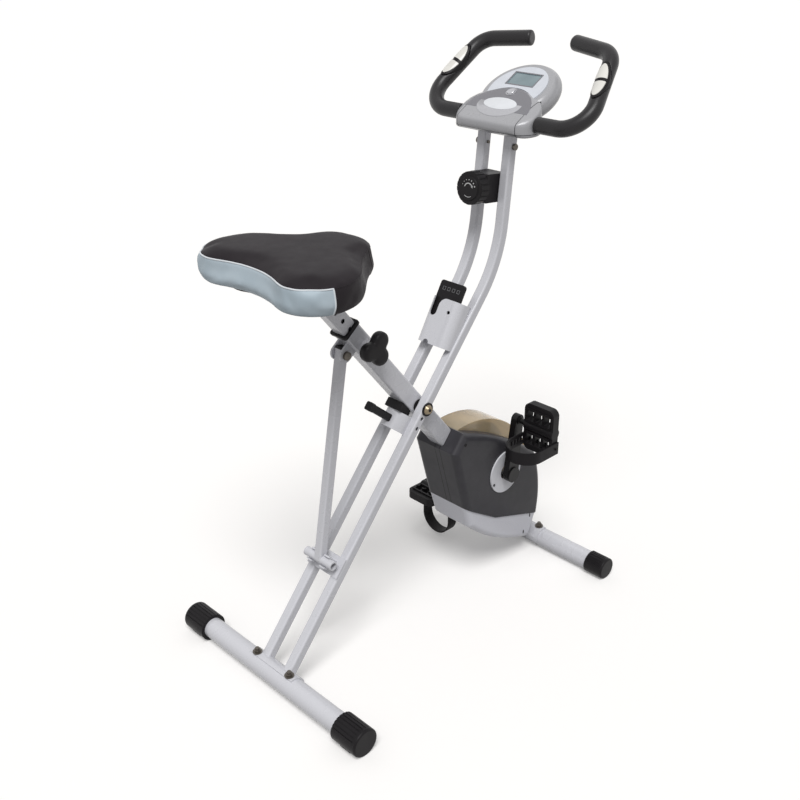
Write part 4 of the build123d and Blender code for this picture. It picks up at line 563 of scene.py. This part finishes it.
def keep_beyond(piece, place, normal, closed=False):
    """Cut a piece along a plane and keep what lies beyond it, as a skin or closed at the cut."""
    edit_all(piece)
    bpy.ops.mesh.bisect(plane_co=place, plane_no=normal, use_fill=closed, clear_inner=True)
    bpy.ops.object.mode_set(mode="OBJECT")


def plane_matrix(center, normal):
    """Places a flat piece on a plane that leans about Y: its x runs up the plane."""
    up = ACROSS.cross(normal).normalized()
    turn = Matrix((up, ACROSS, normal)).transposed()
    return Matrix.Translation(center) @ turn.to_4x4()


def on_side(x, z, node):
    """Places a flat piece on the right side of a node, where a line across the bike meets it."""
    start = Vector((x, PROBE_START, z))
    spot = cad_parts[node].ray_cast(start, ACROSS)[1]
    turn = Matrix((ALONG, UPWARD, -ACROSS)).transposed()
    return Matrix.Translation(spot) @ turn.to_4x4()


def lay_on(piece, matrix):
    """Move a piece modelled flat at the origin on to a plane."""
    piece.matrix_world = matrix
    freeze(piece)


def reach(node, way):
    """How far a node reaches in a direction."""
    return max(vertex.co.dot(way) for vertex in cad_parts[node].data.vertices)


def round_place(radius, degrees):
    """A place on a circle about the origin of a flat piece."""
    turn = radians(degrees)
    return (radius * cos(turn), radius * sin(turn))


def flat_disc(
    name, radius, thick, center=(0, 0), base=0.0, stretch=(1, 1), sides=PLATE_SIDES, eased=True
):
    """A thin round or oval plate lying at the origin, with eased edges unless it is a cutter."""
    bpy.ops.object.select_all(action="DESELECT")
    place = (center[0], center[1], base + thick / 2)
    bpy.ops.mesh.primitive_cylinder_add(vertices=sides, radius=radius, depth=thick, location=place)
    piece = bpy.context.active_object
    piece.name = name
    piece.scale = (stretch[0], stretch[1], 1)
    freeze(piece)
    if eased:
        ease_edges(piece, thick * EASED_SHARE)
    return piece


def cut_window(piece, rim):
    """Cut through a flat piece from top to bottom, leaving a rim."""
    select_faces(piece, lambda face: abs(face.normal.z) > FLAT_FACES)
    bpy.ops.mesh.inset(thickness=rim, use_individual=True)
    bpy.ops.mesh.bridge_edge_loops()
    bpy.ops.object.mode_set(mode="OBJECT")


def open_frame(name, size, rim, thick, center=(0, 0), base=0.0):
    """A flat rectangular frame: a block with a window cut through it, leaving a rim."""
    bpy.ops.object.select_all(action="DESELECT")
    bpy.ops.mesh.primitive_cube_add(size=1, location=(center[0], center[1], base + thick / 2))
    piece = bpy.context.active_object
    piece.name = name
    piece.scale = (size[0], size[1], thick)
    freeze(piece)
    cut_window(piece, rim)
    return piece


def arc_strip(name, radius, width, start, sweep, thick):
    """A flat raised arc about the origin, made by spinning a small upright face."""
    bpy.ops.object.select_all(action="DESELECT")
    bpy.ops.mesh.primitive_plane_add(size=1, location=(radius, 0, thick / 2), rotation=(pi / 2, 0, 0))
    piece = bpy.context.active_object
    piece.name = name
    piece.scale = (width, thick, 1)
    freeze(piece)
    edit_all(piece)
    bpy.ops.mesh.spin(steps=ARC_STEPS, angle=radians(sweep), center=(0, 0, 0), axis=(0, 0, -1))
    bpy.ops.mesh.select_all(action="SELECT")
    bpy.ops.mesh.remove_doubles(threshold=FINE_MERGE)
    bpy.ops.mesh.normals_make_consistent(inside=False)
    bpy.ops.object.mode_set(mode="OBJECT")
    piece.rotation_euler.z = radians(start)
    freeze(piece)
    return piece


def seam(source, name, place, normal):
    """A fine line round a moulding, where it meets the next."""
    line = copy_of(source, name)
    keep_beyond(line, place - normal * SEAM_WIDTH / 2, normal)
    keep_beyond(line, place + normal * SEAM_WIDTH / 2, -normal)
    thicken(line, SEAM_PROUD)
    return line


def tube_along(name, points, radius):
    """A round tube through points, closed at its ends, as a mesh."""
    curve = bpy.data.curves.new(name, "CURVE")
    curve.dimensions = "3D"
    curve.bevel_depth = radius
    curve.bevel_resolution = TUBE_STEPS
    curve.use_fill_caps = True
    line = curve.splines.new("POLY")
    line.points.add(len(points) - 1)
    for spot, point in zip(line.points, points):
        spot.co = (*point, 1)
    piece = bpy.data.objects.new(name, curve)
    scene.collection.objects.link(piece)
    take(piece)
    bpy.ops.object.convert(target="MESH")
    piece = bpy.context.active_object
    edit_all(piece)
    bpy.ops.mesh.remove_doubles(threshold=FINE_MERGE)
    bpy.ops.object.mode_set(mode="OBJECT")
    shade_by_angle(piece)
    return piece


# Seat
def stuff(pad, base_height):
    """Swell a remeshed pad like foam under a tight cover; the base stays where it is."""
    start = [vertex.co.copy() for vertex in pad.data.vertices]
    fixed = pad.vertex_groups.new(name="seat_base")
    fixed.add([v.index for v in pad.data.vertices if v.co.z < base_height], 1, "ADD")
    cover = pad.modifiers.new("cover", "CLOTH")
    cover.settings.use_pressure = True
    cover.settings.uniform_pressure_force = SEAT_PRESSURE
    cover.settings.effector_weights.gravity = 0
    cover.settings.vertex_group_mass = fixed.name
    for step in range(1, SEAT_FRAMES + 1):
        scene.frame_set(step)
    apply_modifiers(pad)
    scene.frame_set(1)
    for vertex, was in zip(pad.data.vertices, start):
        move = vertex.co - was
        if move.length > SEAT_SWELL:
            vertex.co = was + move.normalized() * SEAT_SWELL


def seat_cushion():
    """The stuffed seat: a dark grained top and nose, with a pale band round sides and rear."""
    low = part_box("seat_cushion")[0].z
    pad = copy_of("seat_cushion", "seat_pad")
    swell(pad, -SEAT_SHRINK)
    remesh(pad, SEAT_VOXEL)
    stuff(pad, low + SEAT_SHRINK + SEAT_VOXEL)
    soften(pad, SEAT_RELAXING)
    finer = pad.modifiers.new("finer", "SUBSURF")
    finer.levels = 1
    finer.render_levels = 1
    apply_modifiers(pad)
    for place, normal in ((UPWARD * SEAT_PIPING_HEIGHT, UPWARD), (ALONG * SEAT_BAND_END, ALONG)):
        edit_all(pad)
        bpy.ops.mesh.bisect(plane_co=place, plane_no=normal)
        bpy.ops.object.mode_set(mode="OBJECT")
    pad.data.materials.append(vinyl)
    pad.data.materials.append(band)
    for face in pad.data.polygons:
        flank = face.center.z < SEAT_PIPING_HEIGHT and face.normal.z > SEAT_UNDERSIDE
        face.material_index = 1 if flank and face.center.x < SEAT_BAND_END else 0
    bpy.ops.object.shade_smooth()
    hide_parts("seat_cushion")
    return settle(pad, vinyl, "seat")


def rim_of(pad):
    """Points round the rim of the seat at the height of its piping, found on its surface."""
    tree = BVHTree.FromObject(pad, bpy.context.evaluated_depsgraph_get())
    heart = Vector((SEAT_MIDDLE, 0, SEAT_PIPING_HEIGHT))
    points = []
    for step in range(PIPING_STEPS):
        turn = tau * step / PIPING_STEPS
        way = Vector((cos(turn), sin(turn), 0))
        spot = tree.ray_cast(heart, way)[0]
        points.append(spot + way * PIPING_PROUD)
    return points


def side_of(pad, x, sign):
    """Points down one side of the seat, from the rim to the base, found on its surface."""
    tree = BVHTree.FromObject(pad, bpy.context.evaluated_depsgraph_get())
    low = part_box("seat_cushion")[0].z + SEAT_VOXEL
    points = []
    for step in range(SIDE_STEPS + 1):
        height = SEAT_PIPING_HEIGHT + (low - SEAT_PIPING_HEIGHT) * step / SIDE_STEPS
        spot = tree.ray_cast(Vector((x, 0, height)), ACROSS * sign)[0]
        points.append(spot)
    return points


def seat_piping(pad):
    """White piping round the pale band, a dark welt round flanks and nose, and the nose seams."""
    rim = rim_of(pad)
    pale = [point.x < SEAT_BAND_END for point in rim]
    first = next(i for i in range(len(rim)) if pale[i] and not pale[i - 1])
    rim = rim[first:] + rim[:first]
    count = sum(pale)
    ends = [side_of(pad, SEAT_BAND_END, sign) for sign in (1, -1)]
    route = ends[0][::-1] + rim[:count] + ends[1]
    white = tube_along("seat_piping", route, PIPING_RADIUS)
    settle(white, piping_white, "seat")
    welt = tube_along("seat_welt", rim[count - 1:] + rim[:1], WELT_RADIUS)
    settle(welt, vinyl, "seat")
    for number, x in enumerate(SEAT_NOSE_SEAMS, 1):
        for side, sign in (("right", -1), ("left", 1)):
            line = tube_along(f"nose_seam_{number}_{side}", side_of(pad, x, sign), WELT_RADIUS)
            settle(line, vinyl, "seat")


# Grips
def foam_grip(side):
    """A foam sleeve with soft ends on the bar."""
    sleeve = copy_of(f"grip_{side}", f"foam_grip_{side}")
    remesh(sleeve, GRIP_VOXEL)
    soften(sleeve, GRIP_SOFTENING)
    bpy.ops.object.shade_smooth()
    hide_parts(f"grip_{side}")
    settle(sleeve, foam, "post_frame")


# Console
face_normal = Vector((-sin(radians(FACE_TILT)), 0, cos(radians(FACE_TILT))))
face_plane = plane_matrix(FACE_CENTER, face_normal)
face_up = face_plane.to_3x3() @ ALONG


def on_console(piece, material):
    """Lay a piece on the plane of the console's face and settle it there."""
    lay_on(piece, face_plane)
    settle(piece, material, "post_frame")


def console_base():
    """The base as one soft moulding that rolls over at its ends, with a well for the button."""
    base = copy_of("console_base", "console_cowling")
    edit_all(base)
    bpy.ops.mesh.convex_hull()
    bpy.ops.object.mode_set(mode="OBJECT")
    remesh(base, BASE_VOXEL)
    soften(base, BASE_SOFTENING)
    radius = BUTTON_RADIUS + BUTTON_ROOM
    well = flat_disc(
        "button_well", radius, 2 * BUTTON_WELL, (BUTTON_PLACE, 0), -BUTTON_WELL, eased=False
    )
    lay_on(well, face_plane)
    cut(base, well)
    shade_by_angle(base)
    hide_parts("console_base")
    return settle(base, console_silver, "post_frame")


def console_cowl(base):
    """Darker arch on the cowl, with a lighter moon and a bare oval label on it."""
    cowl_low = COWL_TOP - PLATE_THICK
    arch = copy_of(base, "cowl_band")
    keep_beyond(arch, face_plane @ Vector((0, 0, cowl_low)), face_normal)
    keep_beyond(arch, face_plane @ Vector((BAND_LOW, 0, 0)), face_up)
    thicken(arch, BAND_SKIN)
    settle(arch, console_grey, "post_frame")
    stretch = (MOON_HALF_HEIGHT / MOON_HALF_WIDTH, 1)
    moon = flat_disc("cowl_moon", MOON_HALF_WIDTH, RAISED_THICK, (MOON_PLACE, 0), cowl_low, stretch)
    keep_beyond(moon, ALONG * MOON_TOP, -ALONG, closed=True)
    on_console(moon, moon_silver)
    stretch = (LABEL_HALF_HEIGHT / LABEL_HALF_WIDTH, 1)
    label = flat_disc("bare_label", LABEL_HALF_WIDTH, RAISED_THICK, (LABEL_PLACE, 0), COWL_TOP, stretch)
    on_console(label, label_white)


def console_rims():
    """A bright rim round the button and a dark one round the display."""
    radius = BUTTON_RADIUS + BUTTON_ROOM + BUTTON_RIM + RAISED_THICK * EASED_SHARE
    button_rim = flat_disc("button_rim", radius, RAISED_THICK, (BUTTON_PLACE, 0), COWL_TOP)
    cut_window(button_rim, BUTTON_RIM)
    on_console(button_rim, zinc)
    size = (WINDOW_HEIGHT + 2 * WINDOW_RIM, WINDOW_LENGTH + 2 * WINDOW_RIM)
    window_rim = open_frame("display_rim", size, WINDOW_RIM, PLATE_THICK, (WINDOW_PLACE, 0), FACE_TOP)
    ease_edges(window_rim, PLATE_THICK * EASED_SHARE)
    on_console(window_rim, console_grey)


def base_seams(base):
    """Where the end pieces and the bottom of the base meet its middle."""
    for side, sign in (("right", -1), ("left", 1)):
        line = seam(base, f"base_seam_{side}", ACROSS * (sign * BASE_SEAM), ACROSS)
        settle(line, charcoal, "post_frame")
    line = seam(base, "base_seam_below", UPWARD * BASE_PARTING, UPWARD)
    settle(line, charcoal, "post_frame")


def head_bracket():
    """The bracket between the posts, cut off a little below the base."""
    bracket = copy_of("head_bracket", "bar_bracket")
    keep_beyond(bracket, UPWARD * BRACKET_LOW, UPWARD, closed=True)
    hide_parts("head_bracket")
    settle(bracket, silver, "post_frame")


# Tension knob
def knob_plane():
    """Plane of the knob's raised face, with x up."""
    lean = radians(KNOB_LEAN)
    normal = Vector((-cos(lean), 0, sin(lean)))
    up = Vector((sin(lean), 0, cos(lean)))
    middle = (reach("tension_knob", up) - reach("tension_knob", -up)) / 2
    return plane_matrix(normal * reach("tension_knob", normal) + up * middle, normal)


def knob_marks():
    """A curved arrow, a rising scale of dots and a short line below."""
    plane = knob_plane()
    arrow = arc_strip("knob_arrow", ARROW_RADIUS, ARROW_WIDTH, ARROW_START, ARROW_SWEEP, MARK_THICK)
    head_place = round_place(ARROW_RADIUS, ARROW_START)
    head = flat_disc("knob_arrow_head", ARROW_HEAD, MARK_THICK, head_place, sides=ARROW_HEAD_SIDES)
    line = arc_strip("knob_line", SCALE_RADIUS, LINE_WIDTH, LINE_START, LINE_SWEEP, MARK_THICK)
    marks = [arrow, head, line]
    for step in range(SCALE_DOTS):
        place = round_place(SCALE_RADIUS, SCALE_START + SCALE_STEP * step)
        size = SCALE_DOT + SCALE_GROWTH * (SCALE_DOTS - step)
        marks.append(flat_disc(f"knob_dot_{step + 1}", size, MARK_THICK, place, sides=DOT_SIDES))
    for mark in marks:
        lay_on(mark, plane)
        settle(mark, mark_white, "tension_knob")


# Plate in the holder
def holder_keys():
    """Small square frames in a row on the plate in the holder."""
    lean = radians(HOLDER_LEAN)
    up = Vector((cos(lean), 0, sin(lean)))
    normal = Vector((-sin(lean), 0, cos(lean)))
    center = up * (reach("bracket_insert", up) - KEY_DROP) + normal * reach("bracket_insert", normal)
    plane = plane_matrix(center, normal)
    for number, place in enumerate(KEY_PLACES, 1):
        key = open_frame(f"key_frame_{number}", (KEY_SIDE, KEY_SIDE), KEY_RIM, MARK_THICK, (0, place))
        lay_on(key, plane)
        settle(key, mark_grey, "post_frame")


# Seat knob
def seat_knob():
    """The lobed knob with its lobes rounded over and filled out between."""
    knob = copy_of("seat_knob", "seat_hand_knob")
    remesh(knob, KNOB_VOXEL)
    soften(knob, KNOB_SOFTENING)
    swell(knob, KNOB_FILL)
    bpy.ops.object.shade_smooth()
    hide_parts("seat_knob")
    settle(knob, black, "seat_knob")


# Drive housing
def screw_head(name, x, z, node, material, body, slot):
    """A small pan head with a socket sunk in it."""
    head = flat_disc(name, SCREW_RADIUS, SCREW_HEIGHT, sides=SCREW_SIDES)
    select_faces(head, lambda face: face.normal.z > UPPER_FACES)
    bpy.ops.mesh.inset(thickness=SOCKET_RIM)
    bpy.ops.transform.translate(value=(0, 0, -SOCKET_DEPTH))
    bpy.ops.object.mode_set(mode="OBJECT")
    lay_on(head, on_side(x, z, node))
    settle(head, material, body)


def housing_fittings():
    """Seams down the rear wall, screws in disc, neck and pivot, and black ovals of painted shade for the
    two slots of the skirt.
    """
    for number, y in enumerate(HOUSING_SEAMS, 1):
        line = seam("housing_right", f"housing_seam_{number}", ACROSS * y, ACROSS)
        settle(line, black, "main_frame")
    screw_head("pivot_socket", *PIVOT_SCREW, "pivot_bolt", black, "post_frame", "black_plastic")
    screw_head("disc_screw", *DISC_SCREW, "crank_discs", charcoal, "main_frame", "black_plastic")
    screw_head("neck_screw", *NECK_SCREW, "housing_right", black, "main_frame", "black_plastic")
    for number, (x, z) in enumerate(SKIRT_SLOTS, 1):
        # Each slot is a thin black oval laid on the skirt: painted shade standing for the dark of its
        # opening.
        slot = flat_disc(f"painted_slot_shade_{number}", SLOT_HALF_LENGTH, SLOT_THICK, stretch=(SLOT_SHARE, 1))
        lay_on(slot, on_side(x, z, "housing_skirt"))
        settle(slot, black, "main_frame")


# All pieces
pad = seat_cushion()
seat_piping(pad)
for side in ("right", "left"):
    foam_grip(side)
base = console_base()
console_cowl(base)
console_rims()
base_seams(base)
head_bracket()
seat_knob()
knob_marks()
holder_keys()
housing_fittings()


# Floor, light and camera
def either(tree, first, second):
    """The greater of two ray tests."""
    test = tree.nodes.new("ShaderNodeMath")
    test.operation = "MAXIMUM"
    tree.links.new(first, test.inputs[0])
    tree.links.new(second, test.inputs[1])
    return test.outputs[0]


def mix_for_sight(tree, target, seen_shader, light_shader):
    """One shader for camera, glossy and see-through rays, another for light that bounces."""
    path = tree.nodes.new("ShaderNodeLightPath")
    seen = either(tree, path.outputs["Is Camera Ray"], path.outputs["Is Glossy Ray"])
    through = either(tree, seen, path.outputs["Is Transmission Ray"])
    mix = tree.nodes.new("ShaderNodeMixShader")
    tree.links.new(through, mix.inputs["Fac"])
    tree.links.new(light_shader, mix.inputs[1])
    tree.links.new(seen_shader, mix.inputs[2])
    tree.links.new(mix.outputs[0], target)


def studio_world():
    """A soft white room: white where it is seen, dimmer where it lights."""
    world = bpy.data.worlds.new("studio")
    scene.world = world
    world.use_nodes = True
    tree = world.node_tree
    lighting = tree.nodes["Background"]
    lighting.inputs["Color"].default_value = WHITE
    lighting.inputs["Strength"].default_value = ROOM_LIGHT
    backdrop = tree.nodes.new("ShaderNodeBackground")
    backdrop.inputs["Color"].default_value = WHITE
    backdrop.inputs["Strength"].default_value = 1
    out = tree.nodes["World Output"].inputs["Surface"]
    mix_for_sight(tree, out, backdrop.outputs[0], lighting.outputs[0])


def studio_floor():
    """A white floor that runs out of sight, keeps the soft shadow and throws little light back up."""
    bpy.ops.object.select_all(action="DESELECT")
    bpy.ops.mesh.primitive_plane_add(size=FLOOR_SIZE)
    floor = bpy.context.active_object
    floor.name = "studio_floor"
    material = new_finish("floor_white", screen(238, 236, 234), roughness=0.9, shine=0)
    tree = material.node_tree
    glow = tree.nodes.new("ShaderNodeEmission")
    glow.inputs["Strength"].default_value = FLOOR_GLOW
    both = tree.nodes.new("ShaderNodeAddShader")
    tree.links.new(shader_of(material).outputs[0], both.inputs[0])
    tree.links.new(glow.outputs[0], both.inputs[1])
    bounce = tree.nodes.new("ShaderNodeBsdfDiffuse")
    bounce.inputs["Color"].default_value = (FLOOR_BOUNCE, FLOOR_BOUNCE, FLOOR_BOUNCE, 1)
    out = tree.nodes["Material Output"].inputs["Surface"]
    mix_for_sight(tree, out, both.outputs[0], bounce.outputs[0])
    floor.data.materials.append(material)


def studio_lamp():
    """One broad soft lamp, high up behind the bike and to its right."""
    light = bpy.data.lights.new("key", "SUN")
    light.energy = LAMP_LIGHT
    light.angle = radians(LAMP_SPREAD)
    lamp = bpy.data.objects.new("key", light)
    scene.collection.objects.link(lamp)
    lamp.rotation_mode = "QUATERNION"
    lamp.rotation_quaternion = LAMP_WAY.to_track_quat("-Z", "Y")


def photo_camera():
    """A camera where the photograph was taken from."""
    data = bpy.data.cameras.new("photo")
    data.lens = CAMERA_LENS
    data.sensor_width = CAMERA_SENSOR
    camera = bpy.data.objects.new("photo", data)
    scene.collection.objects.link(camera)
    turn = radians(CAMERA_AZIMUTH)
    rise = radians(CAMERA_ELEVATION)
    back = Vector((sin(turn) * cos(rise), -cos(turn) * cos(rise), sin(rise)))
    camera.location = CAMERA_PLACE
    camera.rotation_mode = "QUATERNION"
    camera.rotation_quaternion = (-back).to_track_quat("-Z", "Y")
    scene.camera = camera


studio_world()
studio_floor()
studio_lamp()
photo_camera()
